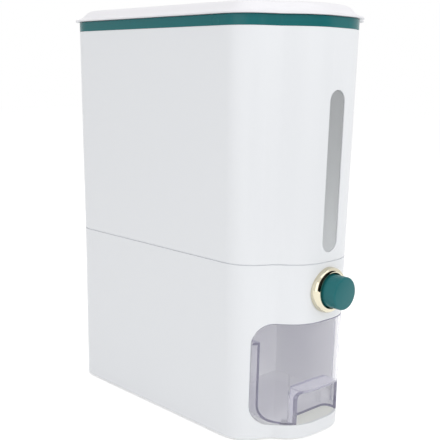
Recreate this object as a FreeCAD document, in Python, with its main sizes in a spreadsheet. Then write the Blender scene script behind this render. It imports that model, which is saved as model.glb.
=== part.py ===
import FreeCAD, Part

import math
import os
from types import SimpleNamespace

import Sketcher
from FreeCAD import Placement, Rotation, Vector

# A free-standing rice dispenser: a hopper with a sloping floor stands on a base that holds a clear
# drawer. A push button on the nose of the base moves a slotted gate under the hopper, and rice falls
# through a chute into the drawer. Millimetres, +Z up, front towards -Y. The origin is on the floor,
# under the middle of the width and of the depth from the button's face to the lid's rear edge.

# (alias, value, what it measures); lengths are in mm, the last group has no unit or is in degrees
DIMENSIONS = [
    ("body_width", 160.2, "width across the sides at the rim"),
    ("body_depth", 297.3, "depth from the nose to the back at the rim"),
    ("nose_flat", 17.4, "width of the flat front of the nose"),
    ("nose_radius", 45.2, "plan radius at each side of the nose"),
    ("neck_radius", 23.4, "hollow plan radius between nose and shoulder"),
    ("shoulder_length", 8.25, "straight stretch of each shoulder"),
    ("corner_radius", 35.0, "plan radius from shoulder to side"),
    ("rear_radius", 33.6, "plan radius of the two rear corners"),
    ("foot_height", 2.0, "floor to the lower edge of the shells"),
    ("base_height", 161.3, "lower edge of the base to the seam"),
    ("hopper_height", 204.4, "seam to the underside of the trim ring"),
    ("ring_height", 9.3, "height of the trim ring"),
    ("seam_gap", 0.8, "shadow gap between base and hopper"),
    ("shell_wall", 2.5, "wall of the base and the hopper"),
    ("fit_gap", 0.2, "gap between mouldings that nest"),
    ("move_gap", 0.3, "gap beside a moving piece"),
    ("opening_margin", 16.4, "side of the body at the rim to the drawer opening"),
    ("opening_drop", 53.7, "seam to the top of the drawer opening"),
    ("opening_sill", 12.0, "lower edge of the base to the sill of the opening"),
    ("opening_low_radius", 20.0, "lower corners of the opening"),
    ("opening_high_radius", 18.0, "upper corners of the opening"),
    ("panel_gap", 0.5, "gap round the drawer front in its opening"),
    ("panel_wall", 2.5, "thickness of the drawer front"),
    ("drawer_margin", 6.7, "side of the opening to the drawer box"),
    ("drawer_depth", 114.0, "nose of the base to the rear of the drawer box"),
    ("drawer_drop", 16.6, "top of the opening to the rim of the drawer box"),
    ("drawer_wall", 2.0, "wall of the drawer box"),
    ("drawer_lift", 0.8, "sill to the underside of the drawer"),
    ("drawer_low_radius", 20.0, "lower side corners of the drawer box"),
    ("drawer_rear_radius", 12.0, "rounding round the rear wall of the drawer box"),
    ("rim_width", 3.5, "how far the drawer's side rims stand out"),
    ("rim_thickness", 2.5, "thickness of the drawer's side rims"),
    ("pocket_width", 56.0, "width of the finger pocket"),
    ("pocket_height", 30.0, "sill to the roof of the finger pocket"),
    ("pocket_depth", 19.5, "nose of the base to the rear of the finger pocket"),
    ("pocket_front_radius", 5.0, "upper corners of the finger pocket"),
    ("pocket_rear_radius", 8.0, "rear corners of the finger pocket"),
    ("bay_wall", 2.0, "walls and floor of the drawer bay"),
    ("bay_space", 3.0, "gap behind the closed drawer"),
    ("rail_height", 4.5, "height of the runner rails"),
    ("leg_thickness", 2.0, "legs under the bay's floor"),
    ("leg_spread", 40.0, "middle leg to each outer leg"),
    ("deck_thickness", 3.0, "thickness of the deck over the drawer bay"),
    ("deck_drop", 24.0, "underside of the deck below the gate's centre line"),
    ("chute_wall", 1.8, "wall of the chute"),
    ("chute_taper", 4.0, "how far each side of the chute draws in"),
    ("chute_reach", 14.0, "how far the chute hangs below the deck's top"),
    ("chute_flange", 7.0, "width of the chute's flange"),
    ("chute_flange_thickness", 2.0, "thickness of the chute's flange"),
    ("plate_thickness", 2.5, "thickness of the bottom cover"),
    ("plate_recess", 1.5, "lower edge of the base to the bottom cover"),
    ("foot_radius", 9.0, "radius of a foot"),
    ("foot_margin", 28.1, "side of the body at the rim to the feet"),
    ("foot_front", 53.6, "nose at the rim to the front feet"),
    ("foot_rear", 35.6, "back at the rim to the rear feet"),
    ("foot_stem", 3.0, "radius of the stem on a foot"),
    ("button_drop", 25.25, "seam to the button's centre"),
    ("button_proud", 20.4, "nose to the button's face"),
    ("button_radius", 15.0, "radius of the button"),
    ("button_length", 24.0, "length of the button"),
    ("button_wall", 2.2, "wall of the button"),
    ("button_round", 1.6, "rounding of the button's face"),
    ("button_travel", 11.0, "how far the button is pushed"),
    ("boss_radius", 7.0, "radius of the boss inside the button"),
    ("boss_length", 12.0, "length of the boss inside the button"),
    ("rod_radius", 2.8, "radius of the push rod"),
    ("rod_pin_radius", 1.8, "radius of the pin at the rod's end"),
    ("rod_pin_length", 5.0, "length of the pin at the rod's end"),
    ("bezel_radius", 20.9, "radius of the button's bezel"),
    ("bezel_proud", 6.8, "nose to the front of the bezel"),
    ("bezel_lip_radius", 17.4, "radius of the crest of the bezel's round"),
    ("bezel_edge", 0.8, "straight edge of the bezel at the shell"),
    ("bezel_bore", 15.9, "radius of the bezel's bore"),
    ("barrel_radius", 17.5, "radius of the bezel's barrel in the shell"),
    ("nut_radius", 20.7, "radius of the bezel's nut"),
    ("nut_thickness", 5.0, "thickness of the bezel's nut"),
    ("seat_depth", 3.0, "flat seat for the nut, behind the shell's wall"),
    ("spring_wire", 1.1, "wire of the return spring"),
    ("spring_radius", 5.9, "mean radius of the return spring"),
    ("gate_setback", 62.5, "nose of the base to the centre of the gate"),
    ("slot_width", 50.0, "length of a gate slot across the body"),
    ("slot_length", 9.0, "width of a gate slot along the travel"),
    ("slide_thickness", 6.0, "thickness of the gate slide"),
    ("slide_width", 60.0, "width of the gate slide"),
    ("slide_margin", 6.0, "slide in front of its first slot"),
    ("slide_overlap", 5.0, "slide behind the last slot of the housing"),
    ("gate_wall", 2.7, "walls of the gate housing"),
    ("gate_ear", 10.0, "how far the ears stand out from the gate housing"),
    ("gate_ear_length", 14.0, "length of an ear of the gate housing"),
    ("seal_thickness", 2.0, "thickness of the throat seal"),
    ("seal_width", 4.0, "width of the throat seal's frame"),
    ("throat_margin", 1.5, "throat opening beyond the gate's slots"),
    ("throat_radius", 6.0, "corner radius of the throat"),
    ("funnel_wall", 3.0, "upright thickness of the hopper's floor"),
    ("funnel_rise", 100.0, "height over which the runs of the floor are given"),
    ("funnel_front_run", 240.0, "run of the front slope over that height"),
    ("funnel_rear_run", 214.0, "run of the rear slope over that height"),
    ("funnel_side_run", 84.0, "run of each side slope over that height"),
    ("spigot_height", 8.0, "how far the hopper reaches into the base"),
    ("spigot_wall", 2.0, "wall of the hopper's spigot"),
    ("rebate_wall", 1.1, "upstand of the hopper's rim inside the ring"),
    ("rebate_height", 6.0, "height of that upstand"),
    ("window_width", 19.9, "width of the window slot"),
    ("window_foot", 9.2, "seam to the lower end of the window slot"),
    ("window_height", 143.1, "height of the window slot"),
    ("lens_recess", 1.0, "face of the lens behind the hopper's face"),
    ("lens_flange", 3.0, "flange round the lens inside the hopper"),
    ("lens_thickness", 2.0, "thickness of that flange"),
    ("ring_lip", 3.2, "width of the trim ring's top"),
    ("ring_cap", 2.4, "thickness of the trim ring's top"),
    ("lid_overhang", 4.0, "how far the lid stands out over the ring"),
    ("lid_edge", 1.5, "thickness of the lid's brim"),
    ("lid_rise", 10.3, "brim of the lid to its flat top"),
    ("lid_slope", 20.0, "how far the lid's flat top is set in from the brim's edge"),
    ("lid_wall", 2.4, "wall of the lid"),
    ("plug_inset", 5.4, "rim's face to the lid's plug"),
    ("plug_wall", 2.0, "wall of the lid's plug"),
    ("plug_depth", 12.0, "how far the plug reaches into the hopper"),
    ("lid_seal_height", 4.0, "height of the lid's seal"),
    ("screw_radius", 1.45, "radius of a screw's shank"),
    ("screw_head_radius", 2.8, "radius of a screw's head"),
    ("screw_head_height", 2.2, "height of a screw's head"),
    ("screw_length", 10.0, "length of a screw under its head"),
    ("pilot_radius", 1.55, "radius of a screw's hole"),
    ("post_radius", 4.2, "radius of a screw post"),
    ("post_height", 22.0, "height of a screw post"),
    ("tab_thickness", 3.0, "thickness of the tabs that hold the hopper"),
    ("tab_front", 34.0, "middle of the depth to the front tabs"),
    ("tab_rear", 92.0, "middle of the depth to the rear tabs"),
    ("nose_turn", 53.4, "degrees that the nose turns at each side"),
    ("hopper_draft", 0.0193, "draw-in of the hopper for each mm down"),
    ("base_draft", 0.0109, "draw-in of the base for each mm down"),
    ("spring_coils", 5.0, "coils of the return spring"),
]

doc = FreeCAD.newDocument("RiceDispenser")
sheet = doc.addObject("Spreadsheet::Sheet", "Sizes")
for row, (alias, value, meaning) in enumerate(DIMENSIONS, start=1):
    sheet.set(f"A{row}", meaning)
    sheet.set(f"B{row}", str(value))
    sheet.setAlias(f"B{row}", alias)
doc.recompute()


class Size:
    """A length that carries the sheet formula it comes from, so that what it draws is bound to it."""

    def __init__(self, value, formula):
        self.value = value
        self.formula = formula

    def __float__(self):
        return self.value

    def __neg__(self):
        return Size(-self.value, f"(-1 * {self.formula})")

    def __add__(self, other):
        other = as_size(other)
        return Size(self.value + other.value, f"({self.formula} + {other.formula})")

    def __sub__(self, other):
        other = as_size(other)
        return Size(self.value - other.value, f"({self.formula} - {other.formula})")

    def __mul__(self, other):
        other = as_size(other)
        return Size(self.value * other.value, f"({self.formula} * {other.formula})")

    def __truediv__(self, other):
        other = as_size(other)
        return Size(self.value / other.value, f"({self.formula} / {other.formula})")

    def __radd__(self, other):
        return as_size(other) + self

    def __rsub__(self, other):
        return as_size(other) - self

    def __rmul__(self, other):
        return as_size(other) * self


def as_size(number):
    """A plain number as a Size whose formula is the number itself."""
    if isinstance(number, Size):
        return number
    return Size(float(number), f"({float(number)!r})")


s = SimpleNamespace(**{alias: Size(value, f"Sizes.{alias}") for alias, value, meaning in DIMENSIONS})

# ---------------------------------------------------------------------------------------------
# Places that follow from the sizes

FLOOR = as_size(0)
CENTRE = as_size(0)
OVERCUT = as_size(1)  # how far a cutter runs past the face that it cuts
BEYOND = as_size(400)  # farther than any piece reaches
ROUND_STEPS = 4  # stretches of a turned quarter round
# Course of the lid's side from its brim to its flat top: (share of the slope, share of the rise).
LID_COURSE = [(0.0, 0.0), (0.2, 0.11), (0.37, 0.31), (0.6, 0.74), (0.78, 0.93), (1.0, 1.0)]

shell_foot = s.foot_height
seam = shell_foot + s.base_height
hopper_foot = seam + s.seam_gap
ring_foot = seam + s.hopper_height
ring_top = ring_foot + s.ring_height


def hopper_inset(height):
    """How far the hopper's face at a height lies inside the outline of the rim."""
    return s.hopper_draft * (ring_top - height)


def base_inset(height):
    """How far the base's face at a height lies inside the outline of the rim."""
    return hopper_inset(seam) + s.base_draft * (seam - height)


button_z = seam - s.button_drop
button_reach = s.button_proud - base_inset(button_z)
front = (button_reach - s.lid_overhang - s.body_depth) / 2
rear = front + s.body_depth
nose = front + base_inset(button_z)

sill = shell_foot + s.opening_sill
opening_half = s.body_width / 2 - s.opening_margin
opening_top = seam - s.opening_drop

drawer_low = sill + s.drawer_lift
drawer_top = opening_top - s.drawer_drop
drawer_half = opening_half - s.drawer_margin
drawer_rear = nose + s.drawer_depth
pocket_roof = sill + s.pocket_height
pocket_rear = nose + s.pocket_depth

bay_half = opening_half + s.fit_gap
bay_rear = drawer_rear + s.bay_space
deck_low = button_z - s.deck_drop - s.deck_thickness
deck_top = deck_low + s.deck_thickness

slide_low = button_z - s.slide_thickness / 2
slide_top = button_z + s.slide_thickness / 2
slide_half = s.slide_width / 2
gate_y = nose + s.gate_setback
slot_pitch = 2 * s.button_travel
slot_half = s.slot_width / 2
slide_front = gate_y - slot_pitch - s.slot_length / 2 - s.slide_margin
slide_rear = gate_y + slot_pitch / 2 + s.slot_length / 2 + s.slide_overlap
channel_low = slide_low - s.move_gap
channel_top = slide_top + s.move_gap
channel_half = slide_half + s.move_gap
channel_front = slide_front - s.move_gap
channel_rear = slide_rear + s.button_travel + s.move_gap
gate_low = channel_low - s.gate_wall
gate_top = channel_top + s.gate_wall
gate_half = channel_half + s.gate_wall
gate_front = channel_front - s.gate_wall
gate_rear = channel_rear + s.gate_wall
ear_half = gate_half + s.gate_ear
ear_screw_x = gate_half + s.gate_ear / 2
ear_screw_y = s.gate_ear_length

throat_half = slot_half + s.throat_margin
throat_reach = slot_pitch / 2 + s.slot_length / 2 + s.throat_margin
funnel_foot = gate_top + s.seal_thickness
throat_top = funnel_foot + s.funnel_wall

side_face = s.body_width / 2 - base_inset(shell_foot) - s.shell_wall
post_x = side_face - s.post_radius + s.fit_gap * 4
deck_post_x = bay_half + s.bay_wall + s.screw_head_radius - s.fit_gap
plate_low = shell_foot + s.plate_recess
plate_top = plate_low + s.plate_thickness
tab_top = seam - s.spigot_height
tab_x = s.body_width / 2 - base_inset(tab_top) - s.shell_wall - s.post_radius + s.fit_gap * 4

window_low = seam + s.window_foot
window_high = window_low + s.window_height
window_half = s.window_width / 2

lid_low = ring_top + s.move_gap
lid_shoulder = lid_low + s.lid_edge
lid_top = lid_shoulder + s.lid_rise

button_front = nose - s.button_proud
button_rear = button_front + s.button_length
boss_rear = button_front + s.button_wall + s.boss_length
nut_front = nose + s.shell_wall + s.seat_depth

# ---------------------------------------------------------------------------------------------
# Drawing and building


def bind(thing, path, length):
    """Tie one property of a document object to the sheet."""
    thing.setExpression(path, as_size(length).formula)


def dimension(sketch, kind, targets, length):
    """Add a sketch dimension and tie it to the sheet."""
    length = as_size(length)
    index = sketch.addConstraint(Sketcher.Constraint(kind, *targets, float(length)))
    bind(sketch, f"Constraints[{index}]", length)


def new_sketch(body, plane, offset):
    """Empty sketch on one of the body's own planes, moved along the plane's normal."""
    sketch = body.newObject("Sketcher::SketchObject", body.Name + "Sketch")
    support = next(item for item in body.Origin.OriginFeatures if item.Role == plane)
    sketch.AttachmentSupport = [(support, "")]
    sketch.MapMode = "FlatFace"
    bind(sketch, "AttachmentOffset.Base.z", offset)
    return sketch


def point(across, along):
    return Vector(float(across), float(along), 0)


def arc_about(centre, radius, start, end):
    """Arc of a circle that runs anticlockwise between two directions, in degrees."""
    circle = Part.Circle(centre, Vector(0, 0, 1), radius)
    return Part.ArcOfCircle(circle, math.radians(start), math.radians(end))


class Walk:
    """Closed outline drawn by going along it, with its pieces joined tangent to each other."""

    def __init__(self, sketch, start, heading):
        self.sketch = sketch
        self.spot = start
        self.heading = heading
        self.first = self.last = None

    def join(self, index, entry, leave):
        if self.first is None:
            self.first = (index, entry)
        if self.last is not None:
            self.sketch.addConstraint(Sketcher.Constraint("Tangent", *self.last, index, entry))
        self.last = (index, leave)
        return index

    def line(self, length):
        turn = math.radians(self.heading)
        end = self.spot + Vector(math.cos(turn), math.sin(turn), 0) * length
        index = self.sketch.addGeometry(Part.LineSegment(self.spot, end))
        self.spot = end
        return self.join(index, 1, 2)

    def arc(self, radius, turn):
        """Left turns are positive and right turns negative, in degrees."""
        side = 90 if turn > 0 else -90
        inward = math.radians(self.heading + side)
        centre = self.spot + Vector(math.cos(inward), math.sin(inward), 0) * radius
        begin = self.heading - side
        self.heading += turn
        outward = math.radians(self.heading - side)
        self.spot = centre + Vector(math.cos(outward), math.sin(outward), 0) * radius
        if turn > 0:
            index = self.sketch.addGeometry(arc_about(centre, radius, begin, begin + turn))
            return self.join(index, 1, 2)
        index = self.sketch.addGeometry(arc_about(centre, radius, begin + turn, begin))
        return self.join(index, 2, 1)

    def close(self):
        self.sketch.addConstraint(Sketcher.Constraint("Tangent", *self.last, *self.first))


def shoulder_angle():
    """Heading of the straight shoulder, which closes the outline at the body's width."""
    reach = float(s.neck_radius + s.corner_radius)
    nose_turn = math.radians(float(s.nose_turn))
    hollow = float(s.nose_radius + s.neck_radius) * math.sin(nose_turn)
    excess = float(s.nose_flat / 2 + s.corner_radius - s.body_width / 2) + hollow
    length = float(s.shoulder_length)
    return math.degrees(math.asin(excess / math.hypot(reach, length)) + math.atan2(length, reach))


def draw_outline(sketch, inset):
    """The body's plan outline: a flat nose that swells out of two shoulders, and rounded corners."""
    nose_radius = s.nose_radius - inset
    neck_radius = s.neck_radius + inset
    corner_radius = s.corner_radius - inset
    rear_radius = s.rear_radius - inset
    half_width = s.body_width / 2 - inset
    front_y = front + inset
    rear_y = rear - inset
    turn = float(s.nose_turn)
    slope = shoulder_angle()
    walk = Walk(sketch, point(-s.nose_flat / 2, front_y), 0)
    nose_line = walk.line(float(s.nose_flat))
    right_nose = walk.arc(float(nose_radius), turn)
    right_neck = walk.arc(float(neck_radius), slope - turn)
    right_shoulder = walk.line(float(s.shoulder_length))
    right_corner = walk.arc(float(corner_radius), 90 - slope)
    side_length = float(rear_y - rear_radius) - walk.spot.y
    right_side = walk.line(side_length)
    right_rear = walk.arc(float(rear_radius), 90)
    back_line = walk.line(2 * float(half_width - rear_radius))
    left_rear = walk.arc(float(rear_radius), 90)
    left_side = walk.line(side_length)
    left_corner = walk.arc(float(corner_radius), 90 - slope)
    left_shoulder = walk.line(float(s.shoulder_length))
    left_neck = walk.arc(float(neck_radius), slope - turn)
    left_nose = walk.arc(float(nose_radius), turn)
    walk.close()
    sketch.addConstraint([
        Sketcher.Constraint("Symmetric", nose_line, 1, nose_line, 2, -2),
        Sketcher.Constraint("Vertical", right_side),
        Sketcher.Constraint("Vertical", left_side),
        Sketcher.Constraint("Horizontal", back_line),
    ])
    dimension(sketch, "DistanceX", (nose_line, 1, nose_line, 2), s.nose_flat)
    dimension(sketch, "DistanceY", (-1, 1, nose_line, 1), front_y)
    dimension(sketch, "DistanceY", (-1, 1, back_line, 1), rear_y)
    dimension(sketch, "DistanceX", (-1, 1, right_side, 1), half_width)
    dimension(sketch, "DistanceX", (-1, 1, left_side, 1), -half_width)
    for pair, radius in (
        ((right_nose, left_nose), nose_radius),
        ((right_neck, left_neck), neck_radius),
        ((right_corner, left_corner), corner_radius),
        ((right_rear, left_rear), rear_radius),
    ):
        for index in pair:
            dimension(sketch, "Radius", (index,), radius)
    for index in (right_nose, left_nose):
        dimension(sketch, "Angle", (index,), s.nose_turn)
    for index in (right_shoulder, left_shoulder):
        dimension(sketch, "Distance", (index,), s.shoulder_length)


# An angle's dimension is held in radians, and its formula is read in degrees.
plain_dimension = dimension


def dimension(sketch, kind, targets, length):
    """Add a sketch dimension and tie it to the sheet."""
    if kind != "Angle":
        return plain_dimension(sketch, kind, targets, length)
    radians = math.radians(float(length))
    index = sketch.addConstraint(Sketcher.Constraint(kind, *targets, radians))
    bind(sketch, f"Constraints[{index}]", length)


def rounded(left, right, low, high, low_radius=None, high_radius=None):
    """A rectangle whose lower and upper corners may each be rounded."""

    def draw(sketch):
        corners = [(right, low, low_radius), (right, high, high_radius),
                   (left, high, high_radius), (left, low, low_radius)]
        lengths = []
        for start, end in zip(corners[-1:] + corners[:-1], corners):
            span = abs(float(end[0]) - float(start[0])) + abs(float(end[1]) - float(start[1]))
            trim = sum(float(corner[2]) for corner in (start, end) if corner[2] is not None)
            lengths.append(span - trim)
        start_x = float(left) + (float(low_radius) if low_radius is not None else 0)
        walk = Walk(sketch, point(start_x, low), 0)
        lines = []
        for length, corner in zip(lengths, corners):
            lines.append(walk.line(length))
            if corner[2] is None:
                walk.last = None
                walk.heading += 90
            else:
                arc = walk.arc(float(corner[2]), 90)
                dimension(sketch, "Radius", (arc,), corner[2])
        if low_radius is not None:
            walk.close()
        for index, corner in enumerate(corners):
            if corner[2] is None:
                following = lines[(index + 1) % 4]
                sketch.addConstraint(Sketcher.Constraint("Coincident", lines[index], 2, following, 1))
        for index, rule in enumerate(("Horizontal", "Vertical", "Horizontal", "Vertical")):
            sketch.addConstraint(Sketcher.Constraint(rule, lines[index]))
        dimension(sketch, "DistanceY", (-1, 1, lines[0], 1), low)
        dimension(sketch, "DistanceX", (-1, 1, lines[1], 1), right)
        dimension(sketch, "DistanceY", (-1, 1, lines[2], 1), high)
        dimension(sketch, "DistanceX", (-1, 1, lines[3], 1), left)

    return draw


def rear_rounded(front_y, rear_y, low, high, radius):
    """A rectangle in side view whose lower rear corner is rounded."""

    def draw(sketch):
        walk = Walk(sketch, point(front_y, high), -90)
        front_line = walk.line(float(high - low))
        walk.last = None
        walk.heading = 0
        low_line = walk.line(float(rear_y - front_y - radius))
        corner = walk.arc(float(radius), 90)
        rear_line = walk.line(float(high - low - radius))
        walk.last = None
        walk.heading = 180
        top_line = walk.line(float(rear_y - front_y))
        sketch.addConstraint([
            Sketcher.Constraint("Coincident", front_line, 2, low_line, 1),
            Sketcher.Constraint("Coincident", rear_line, 2, top_line, 1),
            Sketcher.Constraint("Coincident", top_line, 2, front_line, 1),
            Sketcher.Constraint("Vertical", front_line),
            Sketcher.Constraint("Horizontal", low_line),
            Sketcher.Constraint("Vertical", rear_line),
            Sketcher.Constraint("Horizontal", top_line),
        ])
        dimension(sketch, "Radius", (corner,), radius)
        dimension(sketch, "DistanceX", (-1, 1, front_line, 1), front_y)
        dimension(sketch, "DistanceX", (-1, 1, rear_line, 1), rear_y)
        dimension(sketch, "DistanceY", (-1, 1, low_line, 1), low)
        dimension(sketch, "DistanceY", (-1, 1, top_line, 1), high)

    return draw


def stadium(half_width, low, high):
    """An upright slot with round ends about the line x = 0."""

    def draw(sketch):
        walk = Walk(sketch, point(half_width, low + half_width), 90)
        length = float(high - low - 2 * half_width)
        right_line = walk.line(length)
        top = walk.arc(float(half_width), 180)
        left_line = walk.line(length)
        bottom = walk.arc(float(half_width), 180)
        walk.close()
        sketch.addConstraint([
            Sketcher.Constraint("Vertical", right_line),
            Sketcher.Constraint("PointOnObject", top, 3, -2),
            Sketcher.Constraint("PointOnObject", bottom, 3, -2),
        ])
        dimension(sketch, "Radius", (top,), half_width)
        dimension(sketch, "DistanceY", (-1, 1, right_line, 1), low + half_width)
        dimension(sketch, "DistanceY", (-1, 1, right_line, 2), high - half_width)

    return draw


def polygon(points):
    """A closed loop of straight lines through the given places."""

    def draw(sketch):
        count = len(points)
        for index in range(count):
            start, end = points[index], points[(index + 1) % count]
            sketch.addGeometry(Part.LineSegment(point(*start), point(*end)))
        for index in range(count):
            following = (index + 1) % count
            sketch.addConstraint(Sketcher.Constraint("Coincident", index, 2, following, 1))
        for index, (across, along) in enumerate(points):
            dimension(sketch, "DistanceX", (-1, 1, index, 1), across)
            dimension(sketch, "DistanceY", (-1, 1, index, 1), along)

    return draw


def new_body(name):
    return doc.addObject("PartDesign::Body", name)


def add_pad(body, plane, offset, length, draw):
    """Draw a sketch and pad it along the normal of its plane."""
    sketch = new_sketch(body, plane, offset)
    draw(sketch)
    pad = body.newObject("PartDesign::Pad", body.Name + "Pad")
    pad.Profile = sketch
    bind(pad, "Length", length)
    return pad


def prism_z(name, low, high, draw):
    """Solid of a plan drawing between two heights."""
    body = new_body(name)
    add_pad(body, "XY_Plane", low, high - low, draw)
    return body


def prism_y(name, front_y, rear_y, draw):
    """Solid of a front-view drawing between two depths."""
    body = new_body(name)
    add_pad(body, "XZ_Plane", -rear_y, rear_y - front_y, draw)
    return body


def lofted(name, sections):
    """Solid between plan drawings at two heights, with straight sides."""
    body = new_body(name)
    sketches = []
    for height, draw in sections:
        sketch = new_sketch(body, "XY_Plane", height)
        draw(sketch)
        sketches.append(sketch)
    loft = body.newObject("PartDesign::AdditiveLoft", name + "Loft")
    loft.Profile = sketches[0]
    loft.Sections = sketches[1:]
    loft.Ruled = True
    return body


def outline(inset):
    return lambda sketch: draw_outline(sketch, inset)


def form(name, low, high, inset, draft):
    """Solid of the body's outline between two heights, inside the outer face by an inset."""
    return lofted(name, [(height, outline(draft(height) + inset)) for height in (low, high)])


def lathe(name, axis, profile):
    """Solid turned about the Y or the Z axis from (radius, distance along the axis) points."""
    body = new_body(name)
    if axis == "Y":
        sketch = new_sketch(body, "YZ_Plane", CENTRE)
        polygon([(along, radius) for radius, along in profile])(sketch)
        reference = "H_Axis"
    else:
        sketch = new_sketch(body, "XZ_Plane", CENTRE)
        polygon(profile)(sketch)
        reference = "V_Axis"
    turned = body.newObject("PartDesign::Revolution", name + "Turned")
    turned.Profile = sketch
    turned.ReferenceAxis = (sketch, [reference])
    turned.Angle = 360
    return body


def place(thing, across, along, up):
    """Move a finished piece to its place."""
    for axis, length in zip("xyz", (across, along, up)):
        bind(thing, f"Placement.Base.{axis}", length)
    return thing


def box(name, across, along, up):
    """Block between two limits along each axis."""
    block = doc.addObject("Part::Box", name)
    for side, (low, high) in zip(("Length", "Width", "Height"), (across, along, up)):
        bind(block, side, high - low)
    return place(block, across[0], along[0], up[0])


def hopper_block(name, low, high, narrow, wide):
    """Block with four sloping sides, from (half width, front, rear) at its foot to those at its top."""
    block = doc.addObject("Part::Wedge", name)
    block.Placement = Placement(Vector(0, 0, 0), Rotation(Vector(1, 0, 0), 90))
    bind(block, "Ymin", low)
    bind(block, "Ymax", high)
    for mark, (half_width, front_y, rear_y) in (("", narrow), ("2", wide)):
        bind(block, f"X{mark}min", -half_width)
        bind(block, f"X{mark}max", half_width)
        bind(block, f"Z{mark}min", -rear_y)
        bind(block, f"Z{mark}max", -front_y)
    return block


def upright(name, radius, low, high, across=CENTRE, along=CENTRE):
    """Cylinder that stands on a height."""
    cylinder = doc.addObject("Part::Cylinder", name)
    bind(cylinder, "Radius", radius)
    bind(cylinder, "Height", high - low)
    return place(cylinder, across, along, low)


def level(name, radius, front_y, rear_y, across=CENTRE, up=CENTRE):
    """Cylinder that lies along the depth."""
    cylinder = doc.addObject("Part::Cylinder", name)
    cylinder.Placement = Placement(Vector(0, 0, 0), Rotation(Vector(1, 0, 0), -90))
    bind(cylinder, "Radius", radius)
    bind(cylinder, "Height", rear_y - front_y)
    return place(cylinder, across, front_y, up)


def fuse(name, *pieces):
    joined = doc.addObject("Part::MultiFuse", name)
    joined.Shapes = list(pieces)
    return joined


def common(name, *pieces):
    shared = doc.addObject("Part::MultiCommon", name)
    shared.Shapes = list(pieces)
    return shared


def cut(name, base, *tools):
    result = doc.addObject("Part::Cut", name)
    result.Base = base
    result.Tool = tools[0] if len(tools) == 1 else fuse(name + "Tools", *tools)
    return result


nodes = {}


def keep(name, thing, solids=1):
    """Name a finished piece, and note how many solids it has."""
    thing.Label = name
    nodes[name] = (thing, solids)
    return thing


def screw_group(name, places, points_up=True, length=s.screw_length):
    """Pan-head screws that share one node; a place is the underside of a head."""
    screws = []
    for number, (across, along, up) in enumerate(places):
        screw = lathe(f"{name}Screw{number}", "Z", [
            (CENTRE, -s.screw_head_height),
            (s.screw_head_radius, -s.screw_head_height),
            (s.screw_head_radius, CENTRE),
            (s.screw_radius, CENTRE),
            (s.screw_radius, length),
            (CENTRE, length),
        ])
        if not points_up:
            screw.Placement = Placement(Vector(0, 0, 0), Rotation(Vector(1, 0, 0), 180))
        screws.append(place(screw, across, along, up))
    group = doc.addObject("Part::Compound", name + "Group")
    group.Links = screws
    keep(name, group, len(screws))


# ---------------------------------------------------------------------------------------------
# Base shell: a drafted tube with the drawer opening, the bezel's seat, posts and hopper tabs

base_face = form("BaseFace", shell_foot, seam, CENTRE, base_inset)
base_hollow = form("BaseHollow", shell_foot - OVERCUT, seam + OVERCUT, s.shell_wall, base_inset)
opening = prism_y("DrawerOpening", -BEYOND, CENTRE,
                  rounded(-opening_half, opening_half, sill, opening_top,
                          s.opening_low_radius, s.opening_high_radius))
nut_seat = common("NutSeat", base_face,
                  level("NutSeatRound", s.nut_radius + s.fit_gap * 5, nose - s.seat_depth, nut_front,
                        up=button_z))
barrel_hole = level("BarrelHole", s.barrel_radius + s.fit_gap, nose - s.button_proud,
                    nut_front + OVERCUT, up=button_z)

post_spots = [(side * post_x, along) for side in (-1, 1) for along in (bay_rear + 3 * s.post_radius,
                                                                     rear - 1.5 * s.rear_radius)]
tab_spots = [(side * tab_x, along) for side in (-1, 1) for along in (-s.tab_front, s.tab_rear)]
posts = []
pilots = []
for number, (across, along) in enumerate(post_spots):
    posts.append(upright(f"BasePost{number}", s.post_radius, plate_top, plate_top + s.post_height,
                         across, along))
    pilots.append(upright(f"BasePilot{number}", s.pilot_radius, plate_top - OVERCUT,
                          plate_top + s.screw_length + OVERCUT, across, along))
tabs = []
for number, (across, along) in enumerate(tab_spots):
    inner = across - s.post_radius if float(across) > 0 else across - 2 * s.post_radius
    tabs.append(box(f"HopperTab{number}", (inner, inner + 3 * s.post_radius),
                    (along - 2 * s.post_radius, along + 2 * s.post_radius),
                    (tab_top - s.tab_thickness, tab_top)))
    pilots.append(upright(f"TabHole{number}", s.screw_radius + s.fit_gap,
                          tab_top - s.tab_thickness - OVERCUT, tab_top + OVERCUT, across, along))
base_fittings = common("BaseFittings", fuse("BaseFittingsRaw", *posts, *tabs),
                       form("BaseMiddle", shell_foot, seam, s.shell_wall / 2, base_inset))
base_tube = cut("BaseTube", base_face, base_hollow)
keep("base_shell", cut("BaseShell", fuse("BaseWithFittings", base_tube, nut_seat, base_fittings),
                       opening, barrel_hole, *pilots))

# ---------------------------------------------------------------------------------------------
# Bottom cover with four rubber feet

foot_x = s.body_width / 2 - s.foot_margin
foot_spots = {
    "front_left_foot": (-foot_x, front + s.foot_front),
    "front_right_foot": (foot_x, front + s.foot_front),
    "rear_left_foot": (-foot_x, rear - s.foot_rear),
    "rear_right_foot": (foot_x, rear - s.foot_rear),
}
leg_offsets = [-s.leg_spread, CENTRE, s.leg_spread]
bay_front = front + s.foot_front - 2 * s.foot_radius
bay_spots = [(CENTRE + side * s.leg_spread / 2, bay_rear - 2 * s.post_radius) for side in (-1, 1)]
cover_holes = []
for number, (across, along) in enumerate(post_spots + bay_spots):
    cover_holes.append(upright(f"CoverHole{number}", s.screw_radius + s.fit_gap,
                               plate_low - OVERCUT, plate_top + OVERCUT, across, along))
for number, (across, along) in enumerate(foot_spots.values()):
    cover_holes.append(upright(f"FootHole{number}", s.foot_stem + s.fit_gap,
                               plate_low - OVERCUT, plate_top + OVERCUT, across, along))
cover_plate = prism_z("CoverPlate", plate_low, plate_top,
                      outline(base_inset(shell_foot) + s.shell_wall + s.fit_gap))
keep("bottom_cover", cut("BottomCover", cover_plate, *cover_holes))

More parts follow.
